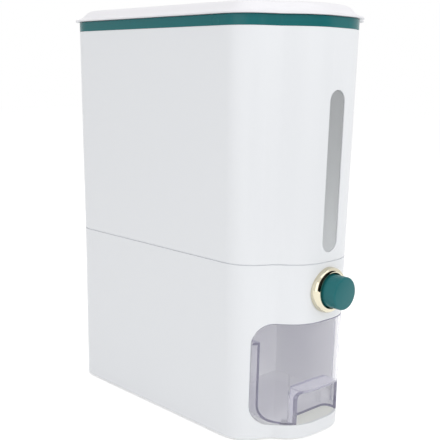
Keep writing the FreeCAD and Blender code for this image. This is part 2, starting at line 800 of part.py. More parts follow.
for name, (across, along) in foot_spots.items():
    stem_top = plate_top + s.foot_stem / 2
    foot = lathe(name + "_pad", "Z", [
        (CENTRE, FLOOR),
        (s.foot_radius, FLOOR),
        (s.foot_radius, plate_low),
        (s.foot_stem, plate_low),
        (s.foot_stem, stem_top),
        (CENTRE, stem_top),
    ])
    keep(name, place(foot, across, along, FLOOR))

screw_group("cover_screws", [(across, along, plate_low) for across, along in post_spots])
screw_group("bay_screws", [(across, along, plate_low) for across, along in bay_spots],
            length=sill - s.bay_wall - plate_low)

# ---------------------------------------------------------------------------------------------
# Drawer bay: floor, walls and runner rails, cut to the inside of the base

bay_room = form("BayRoom", plate_top, deck_low, s.shell_wall + s.fit_gap, base_inset)
bay_outer = bay_half + s.bay_wall
bay_pieces = [
    box("BayFloor", (-BEYOND, BEYOND), (-BEYOND, bay_rear), (sill - s.bay_wall, sill)),
    box("BayRear", (-bay_outer, bay_outer), (bay_rear, bay_rear + s.bay_wall), (sill - s.bay_wall, deck_low)),
]
for number, across in enumerate(leg_offsets):
    bay_pieces.append(box(f"BayLeg{number}", (across - s.leg_thickness / 2, across + s.leg_thickness / 2),
                          (bay_front, bay_rear), (plate_top, sill)))
for number, (across, along) in enumerate(bay_spots):
    bay_pieces.append(upright(f"BayPost{number}", s.post_radius * 0.8, plate_top, sill, across, along))
deck_spots = [(side * deck_post_x, gate_y + s.gate_ear_length) for side in (-1, 1)]
for number, side in enumerate((-1, 1)):
    inner, outer = sorted((side * bay_half, side * bay_outer), key=float)
    bay_pieces.append(box(f"BaySide{number}", (inner, outer), (-BEYOND, bay_rear), (sill, deck_low)))
for number, (across, along) in enumerate(deck_spots):
    bay_pieces.append(upright(f"DeckPost{number}", s.screw_head_radius, sill, deck_low, across, along))
rail_top = drawer_top - s.rim_thickness - s.move_gap
rails = []
for number, side in enumerate((-1, 1)):
    inner, outer = sorted((side * (drawer_half + s.move_gap), side * bay_outer), key=float)
    rails.append(box(f"RunnerRail{number}", (inner, outer), (-BEYOND, bay_rear),
                     (rail_top - s.rail_height, rail_top)))
rail_room = form("RailRoom", sill, deck_low, s.panel_wall + 3 * s.fit_gap + s.move_gap, base_inset)
bay_drills = []
for number, (across, along) in enumerate(bay_spots):
    bay_drills.append(upright(f"BayPilot{number}", s.pilot_radius, plate_top - OVERCUT, sill - OVERCUT,
                              across, along))
for number, (across, along) in enumerate(deck_spots):
    bay_drills.append(upright(f"DeckPilot{number}", s.pilot_radius, deck_low - s.screw_length - OVERCUT,
                              deck_low + OVERCUT, across, along))
bay_body = common("BayBody", fuse("BayRaw", *bay_pieces), bay_room)
bay_rails = common("BayRails", fuse("BayRailsRaw", *rails), rail_room)
keep("drawer_bay", cut("DrawerBay", fuse("BayWithRails", bay_body, bay_rails), *bay_drills))

# ---------------------------------------------------------------------------------------------
# Deck over the bay, with the chute

chute_x = slot_half + s.throat_margin
chute_y = throat_reach
chute_low = deck_top - s.chute_reach


def about_gate(half_x, half_y, radius=None):
    """Rectangle in plan about the centre of the gate."""
    return rounded(-half_x, half_x, gate_y - half_y, gate_y + half_y, radius, radius)


def chute_tube(name, wall, overcut):
    """Block that draws in downwards from the underside of the gate."""
    low_x = chute_x - s.chute_taper + wall
    low_y = chute_y - s.chute_taper + wall
    return hopper_block(name, chute_low - overcut, gate_low + overcut,
                        (low_x, gate_y - low_y, gate_y + low_y),
                        (chute_x + wall, gate_y - chute_y - wall, gate_y + chute_y + wall))


chute_skin = chute_tube("ChuteSkin", s.chute_wall, CENTRE)
chute_hollow = chute_tube("ChuteHollow", CENTRE, OVERCUT)
chute_rim = prism_z("ChuteRim", deck_top, deck_top + s.chute_flange_thickness,
                    about_gate(chute_x + s.chute_flange, chute_y + s.chute_flange,
                               s.throat_radius))
keep("chute", cut("Chute", fuse("ChuteBody", chute_skin, chute_rim), chute_hollow))

deck_slab = common("DeckSlab",
                   form("DeckForm", deck_low, deck_top, s.shell_wall + s.fit_gap, base_inset),
                   box("DeckReach", (-BEYOND, BEYOND), (-BEYOND, bay_rear + s.bay_wall),
                       (deck_low, deck_top)))
deck_hole = prism_z("DeckHole", deck_low - OVERCUT, deck_top + OVERCUT,
                    about_gate(chute_x + s.chute_wall + s.fit_gap,
                               chute_y + s.chute_wall + s.fit_gap))
deck_drills = [upright(f"DeckDrill{number}", s.screw_radius + s.fit_gap, deck_low - OVERCUT,
                       deck_top + OVERCUT, across, along)
               for number, (across, along) in enumerate(deck_spots)]
keep("deck", cut("Deck", deck_slab, deck_hole, *deck_drills))
screw_group("deck_screws", [(across, along, deck_top) for across, along in deck_spots], points_up=False)

# ---------------------------------------------------------------------------------------------
# Gate: a slotted slide between a housing and its cover, sealed under the hopper's throat


def slot_cutters(name, middle, low, high):
    """The two slots that rice falls through, one pitch apart."""
    return [box(f"{name}{number}", (-slot_half, slot_half),
                (middle + step - s.slot_length / 2, middle + step + s.slot_length / 2),
                (low - OVERCUT, high + OVERCUT))
            for number, step in enumerate((-slot_pitch / 2, slot_pitch / 2))]


ear_spots = [(side * ear_screw_x, gate_y + end * ear_screw_y) for side in (-1, 1) for end in (-1, 1)]


def gate_ears(name, low, high):
    """Four ears at the sides of the gate, one for each screw."""
    ears = []
    for number, (across, along) in enumerate(ear_spots):
        ears.append(box(f"{name}{number}", (across - s.gate_ear, across + s.gate_ear / 2)
                        if float(across) > 0 else (across - s.gate_ear / 2, across + s.gate_ear),
                        (along - s.gate_ear_length / 2, along + s.gate_ear_length / 2), (low, high)))
    return ears


def ear_drills(name, low, high, radius):
    return [upright(f"{name}{number}", radius, low - OVERCUT, high + OVERCUT, across, along)
            for number, (across, along) in enumerate(ear_spots)]


housing_block = box("HousingBlock", (-gate_half, gate_half), (gate_front, gate_rear),
                    (gate_low, channel_top))
channel = box("GateChannel", (-channel_half, channel_half), (channel_front, channel_rear),
              (channel_low, channel_top + OVERCUT))
rod_hole = level("RodHole", s.rod_radius + s.fit_gap, gate_front - OVERCUT, channel_front + OVERCUT,
                 up=button_z)
housing_body = cut("HousingBody", housing_block, channel)
housing_ears = cut("HousingEars", fuse("HousingEarsRaw", *gate_ears("HousingEar", channel_top - s.gate_wall,
                                                                   channel_top)),
                   box("EarTrim", (-channel_half, channel_half), (gate_front, gate_rear),
                       (gate_low, gate_top)))
keep("gate_housing", cut("GateHousing", fuse("HousingWithEars", housing_body, housing_ears), rod_hole,
                         *slot_cutters("OutletSlot", gate_y, gate_low, channel_low),
                         *ear_drills("HousingDrill", channel_top - s.gate_wall, channel_top,
                                     s.screw_radius + s.fit_gap)))

cover_slab = box("CoverSlab", (-gate_half, gate_half), (gate_front, gate_rear), (channel_top, gate_top))
keep("gate_cover", cut("GateCover", fuse("CoverWithEars", cover_slab,
                                         *gate_ears("CoverEar", channel_top, gate_top)),
                       *slot_cutters("InletSlot", gate_y, channel_top, gate_top),
                       *ear_drills("CoverDrill", channel_top, gate_top, s.screw_radius + s.fit_gap)))

slide_block = box("SlideBlock", (-slide_half, slide_half), (slide_front, slide_rear),
                  (slide_low, slide_top))
slide_socket = level("SlideSocket", s.rod_pin_radius + s.fit_gap / 4, slide_front - OVERCUT,
                     slide_front + s.rod_pin_length + s.fit_gap, up=button_z)
keep("gate_slide", cut("GateSlide", slide_block, slide_socket,
                       *slot_cutters("SlideSlot", gate_y - s.button_travel, slide_low, slide_top)))

seal_skin = prism_z("SealSkin", gate_top, funnel_foot,
                    about_gate(throat_half + s.seal_width, throat_reach + s.seal_width,
                               s.throat_radius))
seal_hole = prism_z("SealHole", gate_top - OVERCUT, funnel_foot + OVERCUT,
                    about_gate(throat_half, throat_reach))
keep("throat_seal", cut("ThroatSeal", seal_skin, seal_hole))
screw_group("gate_screws", [(across, along, channel_top - s.gate_wall) for across, along in ear_spots])

# ---------------------------------------------------------------------------------------------
# Hopper: drafted wall, sloping floor with its throat, spigot, rim rebate, window slot, screw posts

hopper_face = form("HopperFace", hopper_foot, ring_foot, CENTRE, hopper_inset)
hopper_hollow = form("HopperHollow", seam - OVERCUT, ring_foot + OVERCUT, s.shell_wall, hopper_inset)
hopper_tube = cut("HopperTube", hopper_face, hopper_hollow)
spigot_inset = s.shell_wall + s.fit_gap
floor_room = fuse("FloorRoom",
                  form("FloorRoomInBase", funnel_foot - OVERCUT, hopper_foot, spigot_inset, base_inset),
                  form("FloorRoomAbove", hopper_foot, ring_foot, s.shell_wall / 2, hopper_inset))


def pyramid(name, throat_height):
    """The four slopes of the floor, opening upwards from the throat at a height."""
    throat_front = gate_y - throat_reach
    throat_rear = gate_y + throat_reach
    return hopper_block(name, throat_height, throat_height + s.funnel_rise,
                        (throat_half, throat_front, throat_rear),
                        (throat_half + s.funnel_side_run, throat_front - s.funnel_front_run,
                         throat_rear + s.funnel_rear_run))


floor_sheet = cut("FloorSheet", pyramid("FloorUnderside", funnel_foot), pyramid("FloorTop", throat_top))
sloping_floor = common("SlopingFloor", floor_sheet, floor_room)
throat_flange = prism_z("ThroatFlange", funnel_foot, throat_top,
                        about_gate(ear_half, ear_screw_y + s.gate_ear_length / 2, s.throat_radius))
throat_hole = prism_z("ThroatHole", funnel_foot - OVERCUT, throat_top + OVERCUT,
                      about_gate(throat_half, throat_reach))
floor_post_radius = s.post_radius * 0.8
floor_post_top = throat_top + ((ear_screw_x + floor_post_radius - throat_half)
                               * s.funnel_rise / s.funnel_side_run)
floor_posts = cut("FloorPosts",
                  fuse("FloorPostsRaw", *[
                      upright(f"FloorPost{number}", floor_post_radius, gate_top, floor_post_top,
                              across, along)
                      for number, (across, along) in enumerate(ear_spots)]),
                  pyramid("FloorClear", throat_top))
upstand = cut("RimUpstand",
              form("UpstandFace", ring_foot - OVERCUT, ring_foot + s.rebate_height,
                   s.shell_wall - s.rebate_wall, hopper_inset),
              form("UpstandHollow", ring_foot - 2 * OVERCUT, ring_foot + s.rebate_height + OVERCUT,
                   s.shell_wall, hopper_inset))
spigot_face = form("SpigotFace", seam - s.spigot_height, hopper_foot, spigot_inset, base_inset)
spigot = cut("Spigot", spigot_face,
             level("NutRelief", s.nut_radius + s.fit_gap * 8, nose, nut_front + s.nut_thickness, up=button_z),
             form("SpigotHollow", seam - s.spigot_height - OVERCUT, hopper_foot + OVERCUT,
                  spigot_inset + s.spigot_wall, base_inset))
spigot_root = cut("SpigotRoot",
                  form("SpigotRootFace", hopper_foot, hopper_foot + s.shell_wall, s.shell_wall / 2, hopper_inset),
                  form("SpigotRootHollow", hopper_foot - OVERCUT, hopper_foot + s.shell_wall + OVERCUT,
                       spigot_inset + s.spigot_wall, hopper_inset))
hopper_posts = fuse("HopperPosts", *[
    upright(f"HopperPost{number}", s.post_radius, seam - s.spigot_height, seam + s.post_height,
            across, along)
    for number, (across, along) in enumerate(tab_spots)])
post_feet = common("PostFeet", hopper_posts, spigot_face)
post_heads = common("PostHeads", hopper_posts,
                    form("PostRoom", hopper_foot, ring_foot, s.shell_wall / 2, hopper_inset))
hopper_drills = [upright(f"HopperPilot{number}", s.pilot_radius, seam - s.spigot_height - OVERCUT,
                         seam - s.spigot_height + s.screw_length + OVERCUT, across, along)
                 for number, (across, along) in enumerate(tab_spots)]
window_slot = prism_y("WindowSlot", -BEYOND, CENTRE, stadium(window_half, window_low, window_high))
hopper_solid = fuse("HopperSolid", hopper_tube, upstand, spigot, spigot_root, sloping_floor,
                    throat_flange, post_feet, post_heads, floor_posts)
keep("hopper", cut("Hopper", hopper_solid, throat_hole, window_slot, *hopper_drills,
                   *ear_drills("FloorPilot", gate_top, funnel_foot + s.screw_length - 2 * OVERCUT,
                               s.pilot_radius)))
screw_group("hopper_screws", [(across, along, tab_top - s.tab_thickness) for across, along in tab_spots])


def hopper_band(name, outer, inner):
    """Skin of the hopper between two insets, over the height of the window."""
    low = window_low - 2 * s.lens_flange
    high = window_high + 2 * s.lens_flange
    return cut(name, form(name + "Outer", low, high, outer, hopper_inset),
               form(name + "Inner", low - OVERCUT, high + OVERCUT, inner, hopper_inset))


lens_inner = s.shell_wall + s.fit_gap + s.lens_thickness
lens_face = common("LensFace", hopper_band("LensFaceBand", s.lens_recess, lens_inner),
                   prism_y("LensFaceSlot", -BEYOND, CENTRE,
                           stadium(window_half - s.fit_gap, window_low + s.fit_gap,
                                   window_high - s.fit_gap)))
lens_flange = common("LensFlange", hopper_band("LensFlangeBand", s.shell_wall + s.fit_gap, lens_inner),
                     prism_y("LensFlangeSlot", -BEYOND, CENTRE,
                             stadium(window_half + s.lens_flange, window_low - s.lens_flange,
                                     window_high + s.lens_flange)))
keep("window_lens", fuse("WindowLens", lens_face, lens_flange))

# ---------------------------------------------------------------------------------------------
# Trim ring over the hopper's rim

ring_skin = cut("RingSkin", form("RingFace", ring_foot, ring_top, CENTRE, hopper_inset),
                form("RingHollow", ring_foot - OVERCUT, ring_top + OVERCUT, s.ring_lip, hopper_inset))
ring_groove = form("RingGroove", ring_foot - OVERCUT, ring_top - s.ring_cap,
                   s.shell_wall - s.rebate_wall - s.fit_gap, hopper_inset)
keep("trim_ring", cut("TrimRing", ring_skin, ring_groove))

# ---------------------------------------------------------------------------------------------
# Lid: a thin edge over the ring, sloping sides, a flat top, and a plug with its seal

lid_brim = prism_z("LidBrim", lid_low, lid_shoulder, outline(-s.lid_overhang))


def crown(name, rise, edge_inset, top_inset):
    """Top of the lid: it swells from the thin brim to the flat middle, the same all round."""
    sections = []
    for slope_share, rise_share in LID_COURSE:
        sections.append((lid_shoulder + rise * rise_share,
                         outline(edge_inset + (top_inset - edge_inset) * slope_share)))
    courses = [lofted(f"{name}Course{number}", pair)
               for number, pair in enumerate(zip(sections, sections[1:]))]
    return fuse(name, *courses)


lid_crown = crown("LidCrown", s.lid_rise, -s.lid_overhang, s.lid_slope - s.lid_overhang)
lid_hollow = fuse("LidHollow",
                  prism_z("LidHollowBrim", lid_low - OVERCUT, lid_shoulder,
                          outline(s.plug_inset + s.plug_wall)),
                  crown("LidHollowCrown", s.lid_rise - s.lid_wall, s.plug_inset + s.plug_wall,
                        s.lid_slope))
plug = cut("LidPlug", prism_z("PlugFace", lid_low - s.plug_depth, lid_low + OVERCUT, outline(s.plug_inset)),
           prism_z("PlugHollow", lid_low - s.plug_depth - OVERCUT, lid_low + 2 * OVERCUT,
                   outline(s.plug_inset + s.plug_wall)))
keep("lid", fuse("Lid", cut("LidShell", fuse("LidSkin", lid_brim, lid_crown), lid_hollow), plug))

seal_high = lid_low - s.lid_edge - s.lid_seal_height / 2
keep("lid_seal", cut("LidSeal",
                     prism_z("LidSealFace", seal_high - s.lid_seal_height, seal_high,
                             outline(s.ring_lip + s.move_gap)),
                     prism_z("LidSealHollow", seal_high - s.lid_seal_height - OVERCUT,
                             seal_high + OVERCUT, outline(s.plug_inset))))

# ---------------------------------------------------------------------------------------------
# Button, bezel, nut, rod and spring, turned about the button's axis



def turned_round(radius, along, out, back):
    """Quarter round of a lathe profile, from its crest at the front to its outer edge behind."""
    angles = [math.radians(90 * step / ROUND_STEPS) for step in range(ROUND_STEPS + 1)]
    return [(radius + out * math.sin(angle), along + back * (1 - math.cos(angle))) for angle in angles]


bezel_front = nose - s.bezel_proud
lip = s.bezel_lip_radius - s.bezel_bore
bezel_flange = lathe("BezelFlange", "Y", [
    (s.bezel_bore, bezel_front + lip),
    (s.bezel_bore + lip / 4, bezel_front + lip / 4),
    *turned_round(s.bezel_lip_radius, bezel_front, s.bezel_radius - s.bezel_lip_radius,
                  s.bezel_proud - s.bezel_edge),
    (s.bezel_radius, nose + s.seat_depth),
    (s.bezel_bore, nose + s.seat_depth),
])
place(bezel_flange, CENTRE, CENTRE, button_z)
barrel = lathe("BezelBarrel", "Y", [
    (s.bezel_bore, nose - s.bezel_edge),
    (s.barrel_radius, nose - s.bezel_edge),
    (s.barrel_radius, nut_front + s.nut_thickness + s.fit_gap * 5),
    (s.bezel_bore, nut_front + s.nut_thickness + s.fit_gap * 5),
])
place(barrel, CENTRE, CENTRE, button_z)
bezel_seat = form("BezelSeat", shell_foot, seam, -s.fit_gap / 2, base_inset)
keep("button_bezel", fuse("ButtonBezel", cut("BezelSeated", bezel_flange, bezel_seat), barrel))

nut = lathe("NutTurned", "Y", [
    (s.barrel_radius + s.fit_gap, nut_front),
    (s.nut_radius, nut_front),
    (s.nut_radius, nut_front + s.nut_thickness),
    (s.barrel_radius + s.fit_gap, nut_front + s.nut_thickness),
])
keep("bezel_nut", place(nut, CENTRE, CENTRE, button_z))

cap = lathe("CapTurned", "Y", [
    (CENTRE, button_front),
    *turned_round(s.button_radius - s.button_round, button_front, s.button_round, s.button_round),
    (s.button_radius, button_rear),
    (s.button_radius - s.button_wall, button_rear),
    (s.button_radius - s.button_wall, button_front + s.button_wall),
    (s.boss_radius, button_front + s.button_wall),
    (s.boss_radius, boss_rear),
    (s.rod_radius + s.fit_gap / 4, boss_rear),
    (s.rod_radius + s.fit_gap / 4, button_front + 2 * s.button_wall),
    (CENTRE, button_front + 2 * s.button_wall),
])
keep("push_button", place(cap, CENTRE, CENTRE, button_z))

push_rod = lathe("RodTurned", "Y", [
    (CENTRE, button_front + 2 * s.button_wall),
    (s.rod_radius, button_front + 2 * s.button_wall),
    (s.rod_radius, slide_front),
    (s.rod_pin_radius, slide_front),
    (s.rod_pin_radius, slide_front + s.rod_pin_length),
    (CENTRE, slide_front + s.rod_pin_length),
])
keep("push_rod", place(push_rod, CENTRE, CENTRE, button_z))

spring_space = gate_front - boss_rear
coil = doc.addObject("Part::Helix", "SpringCoil")
bind(coil, "Radius", s.spring_radius)
bind(coil, "Height", spring_space - s.spring_wire)
bind(coil, "Pitch", (spring_space - s.spring_wire) / s.spring_coils)
wire = doc.addObject("Part::Plane", "SpringWire")
wire.Placement = Placement(Vector(0, 0, 0), Rotation(Vector(1, 0, 0), 90))
bind(wire, "Length", s.spring_wire)
bind(wire, "Width", s.spring_wire)
bind(wire, "Placement.Base.x", s.spring_radius - s.spring_wire / 2)
bind(wire, "Placement.Base.z", -s.spring_wire / 2)
doc.recompute()
spring = doc.addObject("Part::Sweep", "SpringSweep")
spring.Sections = [wire]
spring.Spine = (coil, [f"Edge{number}" for number in range(1, len(coil.Shape.Edges) + 1)])
spring.Solid = True
spring.Frenet = True
spring.Placement = Placement(Vector(0, 0, 0), Rotation(Vector(1, 0, 0), -90))
keep("return_spring", place(spring, CENTRE, boss_rear + s.spring_wire / 2, button_z))

# ---------------------------------------------------------------------------------------------
# Drawer: a clear front that follows the nose, a tub with side rims, and a finger pocket


def prism_x(name, half_width, draw):
    """Solid of a side-view drawing, as far to each side of the middle."""
    body = new_body(name)
    add_pad(body, "YZ_Plane", -half_width, 2 * half_width, draw)
    return body


def drawer_block(name, wall, high):
    """The tub's block, drawn in by a wall: what its front, plan and side views share."""
    half = drawer_half - wall
    rear_y = drawer_rear - wall
    low = drawer_low + wall
    rear_radius = s.drawer_rear_radius - wall
    low_radius = s.drawer_low_radius - wall
    return common(name,
                  prism_y(name + "Front", -BEYOND, rear_y, rounded(-half, half, low, high, low_radius)),
                  prism_z(name + "Plan", low, high, rounded(-half, half, -BEYOND, rear_y, None, rear_radius)),
                  prism_x(name + "Side", half, rear_rounded(-BEYOND, rear_y, low, high, low_radius)))


def pocket_block(name, wall, low):
    """The finger pocket's block, larger by a wall: what its front and plan views share."""
    half = s.pocket_width / 2 + wall
    high = pocket_roof + wall
    rear_y = pocket_rear + wall
    return common(name,
                  prism_y(name + "Front", -BEYOND, rear_y,
                          rounded(-half, half, low, high, None, s.pocket_front_radius + wall)),
                  prism_z(name + "Plan", low, high,
                          rounded(-half, half, -BEYOND, rear_y, None, s.pocket_rear_radius + wall)))


face_room = form("FaceRoom", shell_foot, drawer_top + s.drawer_low_radius * 2, CENTRE, base_inset)
tub_room = form("TubRoom", shell_foot, drawer_top + s.drawer_low_radius * 2, s.panel_wall, base_inset)
panel_outline = rounded(-opening_half + s.panel_gap, opening_half - s.panel_gap,
                        sill + s.panel_gap, opening_top - s.panel_gap,
                        s.opening_low_radius - s.panel_gap, s.opening_high_radius - s.panel_gap)
panel = common("DrawerPanel", cut("PanelSkin", face_room, tub_room),
               prism_y("PanelCutter", -BEYOND, CENTRE, panel_outline))
tub_block = common("TubBlock", face_room,
                   drawer_block("TubOuter", CENTRE, drawer_top))
tub_hollow = common("TubHollow", tub_room,
                    drawer_block("TubInner", s.drawer_wall, drawer_top + OVERCUT))
rims = []
for number, side in enumerate((-1, 1)):
    inner, outer = sorted((side * (drawer_half - s.drawer_wall / 2), side * (drawer_half + s.rim_width)),
                          key=float)
    rims.append(box(f"DrawerRim{number}", (inner, outer), (-BEYOND, drawer_rear - s.drawer_rear_radius),
                    (drawer_top - s.rim_thickness, drawer_top)))
drawer_rims = common("DrawerRims", fuse("DrawerRimsRaw", *rims), face_room)
pocket_skin = common("PocketSkin", pocket_block("PocketOuter", s.drawer_wall, drawer_low), face_room)
drawer_solid = fuse("DrawerSolid", panel, cut("Tub", tub_block, tub_hollow), drawer_rims, pocket_skin)
keep("drawer", cut("Drawer", drawer_solid, pocket_block("PocketVoid", CENTRE, shell_foot)))

# ---------------------------------------------------------------------------------------------
# Check every object and write one STEP file for each piece

doc.recompute()
faults = [item.Name for item in doc.Objects if "Invalid" in item.State or "Error" in item.State]
for label, (thing, solids) in nodes.items():
    shape = thing.Shape
    if shape.isNull() or not shape.isValid() or len(shape.Solids) != solids:
        faults.append(label)
if faults:
    raise RuntimeError("not built: " + ", ".join(faults))

os.makedirs("parts", exist_ok=True)
for label, (thing, solids) in nodes.items():
    thing.Shape.exportStep(f"parts/{label}.step")
print(f"{len(nodes)} pieces written")
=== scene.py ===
import math

import bmesh
import bpy
from bpy.props import FloatProperty, FloatVectorProperty, IntProperty, PointerProperty
from mathutils import Matrix, Vector


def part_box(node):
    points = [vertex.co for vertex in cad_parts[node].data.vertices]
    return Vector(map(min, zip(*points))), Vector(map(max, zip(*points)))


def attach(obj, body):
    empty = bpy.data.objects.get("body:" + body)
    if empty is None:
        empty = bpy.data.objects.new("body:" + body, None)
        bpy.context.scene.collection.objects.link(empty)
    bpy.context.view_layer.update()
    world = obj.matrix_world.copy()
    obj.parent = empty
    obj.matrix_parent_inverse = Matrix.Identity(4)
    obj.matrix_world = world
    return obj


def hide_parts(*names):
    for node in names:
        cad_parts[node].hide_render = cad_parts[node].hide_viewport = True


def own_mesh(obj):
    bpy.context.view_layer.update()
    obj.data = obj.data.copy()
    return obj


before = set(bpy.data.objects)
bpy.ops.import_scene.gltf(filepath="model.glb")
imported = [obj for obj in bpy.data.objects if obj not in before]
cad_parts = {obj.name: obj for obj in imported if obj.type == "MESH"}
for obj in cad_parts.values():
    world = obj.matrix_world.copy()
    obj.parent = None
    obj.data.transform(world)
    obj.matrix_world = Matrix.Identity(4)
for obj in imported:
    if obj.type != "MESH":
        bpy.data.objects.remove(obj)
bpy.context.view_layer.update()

bl_info = {
    "name": "Rice Dispenser",
    "version": (1, 0, 0),
    "blender": (4, 5, 0),
    "location": "3D View > Sidebar > Rice Dispenser",
    "description": "Dresses a rice dispenser with a lift-off lid, a metering button and a clear drawer",
    "category": "Object",
}

MM = 0.001
SHARP_ANGLE = math.radians(33)
FLAT_ANGLE = math.radians(0.4)
SHORT_EDGE = 0.04 * MM
WELD = 0.002 * MM
WHITE = (1.0, 1.0, 1.0, 1.0)


# ---------------------------------------------------------------------------------------------
# Colour


def linear(value):
    """One sRGB channel from 0 to 1, made linear."""
    return value / 12.92 if value <= 0.04045 else ((value + 0.055) / 1.055) ** 2.4


def hex_colour(code):
    """Linear colour of an sRGB hex code such as #E9EAEC."""
    channels = [int(code[place:place + 2], 16) / 255 for place in (1, 3, 5)]
    return [linear(channel) for channel in channels]


# ---------------------------------------------------------------------------------------------
# Sizes and colours that a user would change


class StageSettings(bpy.types.PropertyGroup):
    """The camera, the lamps and the floor."""

    camera_place: FloatVectorProperty(
        name="Camera place", description="Where the camera stands", subtype="TRANSLATION",
        unit="LENGTH", size=3, default=(-0.5682, -0.59155, 0.3257))
    camera_heading: FloatProperty(
        name="Camera heading", description="Turn of the view from +Y towards +X",
        subtype="ANGLE", default=math.radians(43.69))
    camera_pitch: FloatProperty(
        name="Camera pitch", description="How far the camera looks down",
        subtype="ANGLE", default=math.radians(9.92))
    camera_roll: FloatProperty(
        name="Camera roll", description="Turn of the camera about its view",
        subtype="ANGLE", default=math.radians(1.04))
    camera_lens: FloatProperty(
        name="Lens", description="Focal length in millimetres on a 36 mm sensor",
        subtype="DISTANCE_CAMERA", default=67.4)
    floor_size: FloatProperty(
        name="Floor size", description="Side of the floor", unit="LENGTH", default=12.0)
    floor_colour: FloatVectorProperty(
        name="Floor colour", description="Colour of the pale floor", subtype="COLOR", size=3,
        min=0, max=1, default=hex_colour("#F4F4F4"))
    floor_glow: FloatProperty(
        name="Floor glow", description="How far the floor is lifted towards white, shadow apart",
        min=0, max=1, default=0.47)
    world_strength: FloatProperty(
        name="Room light", description="Strength of the even light of the room", default=0.585)
    key_power: FloatProperty(
        name="Key lamp", description="Power of the large lamp in front", unit="POWER", default=11.5)
    side_power: FloatProperty(
        name="Side lamp", description="Power of the lamp at the left", unit="POWER", default=4.2)
    top_power: FloatProperty(
        name="Top lamp", description="Power of the lamp overhead", unit="POWER", default=6.3)


class FinishSettings(bpy.types.PropertyGroup):
    """The colours of the mouldings."""

    shell_colour: FloatVectorProperty(
        name="Shell", description="Colour of the hopper and the base", subtype="COLOR", size=3,
        min=0, max=1, default=hex_colour("#ECEEF1"))
    lid_colour: FloatVectorProperty(
        name="Lid", description="Colour of the lid", subtype="COLOR", size=3,
        min=0, max=1, default=hex_colour("#EDECF0"))
    inner_colour: FloatVectorProperty(
        name="Inner mouldings", description="Colour of the pieces inside", subtype="COLOR", size=3,
        min=0, max=1, default=hex_colour("#F6F7F5"))
    ring_colour: FloatVectorProperty(
        name="Trim ring", description="Colour of the trim ring", subtype="COLOR", size=3,
        min=0, max=1, default=hex_colour("#0F676A"))
    button_colour: FloatVectorProperty(
        name="Button", description="Colour of the push button", subtype="COLOR", size=3,
        min=0, max=1, default=hex_colour("#1C6B6F"))
    bezel_colour: FloatVectorProperty(
        name="Bezel", description="Tint of the bezel's plating", subtype="COLOR", size=3,
        min=0, max=1, default=hex_colour("#D9D2BC"))
    clear_colour: FloatVectorProperty(
        name="Clear plastic", description="Tint of the drawer", subtype="COLOR", size=3,
        min=0, max=1, default=hex_colour("#FFFFFC"))
    haze_colour: FloatVectorProperty(
        name="Clear plastic haze", description="Tint of the haze that gathers in the drawer's walls",
        subtype="COLOR", size=3, min=0, max=1, default=hex_colour("#D6D3F2"))
    lens_colour: FloatVectorProperty(
        name="Level window", description="Tint of the window", subtype="COLOR", size=3,
        min=0, max=1, default=hex_colour("#CDD0D2"))


class BodySettings(bpy.types.PropertyGroup):
    """The plan outline that the seam follows, and the sizes of edges, fasteners, bezel and spring."""

    body_width: FloatProperty(
        name="Width", description="Width across the sides at the rim", unit="LENGTH", default=160.2 * MM)
    nose_flat: FloatProperty(
        name="Nose flat", description="Width of the flat front", unit="LENGTH", default=17.4 * MM)
    nose_radius: FloatProperty(
        name="Nose radius", description="Radius at each side of the nose", unit="LENGTH",
        default=45.2 * MM)
    nose_turn: FloatProperty(
        name="Nose turn", description="Angle that the nose turns at each side", subtype="ANGLE",
        default=math.radians(53.4))
    neck_radius: FloatProperty(
        name="Neck radius", description="Hollow radius between nose and shoulder", unit="LENGTH",
        default=23.4 * MM)
    shoulder_length: FloatProperty(
        name="Shoulder", description="Straight stretch of each shoulder", unit="LENGTH",
        default=8.25 * MM)
    corner_radius: FloatProperty(
        name="Corner radius", description="Radius from shoulder to side", unit="LENGTH",
        default=35.0 * MM)
    rear_radius: FloatProperty(
        name="Rear radius", description="Radius of the rear corners", unit="LENGTH",
        default=33.6 * MM)
    outline_steps: IntProperty(
        name="Outline steps", description="Stretches on each round of the outline", default=16)
    edge_round: FloatProperty(
        name="Edge rounding", description="Rounding of moulded edges", unit="LENGTH",
        default=0.45 * MM)
    seam_gap: FloatProperty(
        name="Seam", description="Open height of the joint between base and hopper", unit="LENGTH",
        default=0.8 * MM)
    screw_head_radius: FloatProperty(
        name="Screw head", description="Radius of a screw's head", unit="LENGTH", default=2.8 * MM)
    screw_head_height: FloatProperty(
        name="Screw head height", description="Height of a screw's head", unit="LENGTH", default=2.2 * MM)
    screw_radius: FloatProperty(
        name="Screw shank", description="Radius of a screw's shank", unit="LENGTH", default=1.45 * MM)
    foot_pad: FloatProperty(
        name="Foot pad", description="Height of a rubber foot under the cover", unit="LENGTH",
        default=3.5 * MM)
    foot_stem: FloatProperty(
        name="Foot stem", description="Radius of a rubber foot's stem", unit="LENGTH", default=3.0 * MM)
    bezel_proud: FloatProperty(
        name="Bezel height", description="Nose to the front of the bezel", unit="LENGTH",
        default=6.8 * MM)
    bezel_bore: FloatProperty(
        name="Bezel bore", description="Radius of the bezel's bore", unit="LENGTH", default=15.9 * MM)
    bezel_barrel: FloatProperty(
        name="Bezel barrel", description="Radius of the bezel's barrel", unit="LENGTH",
        default=17.5 * MM)
    spring_wire: FloatProperty(
        name="Spring wire", description="Wire of the return spring", unit="LENGTH", default=1.1 * MM)
    opening_round: FloatProperty(
        name="Opening rounding", description="Rounding round the drawer opening", unit="LENGTH",
        default=0.5 * MM)
    drawer_round: FloatProperty(
        name="Drawer rounding", description="Rounding round the drawer's front", unit="LENGTH",
        default=0.5 * MM)


# ---------------------------------------------------------------------------------------------
# Materials


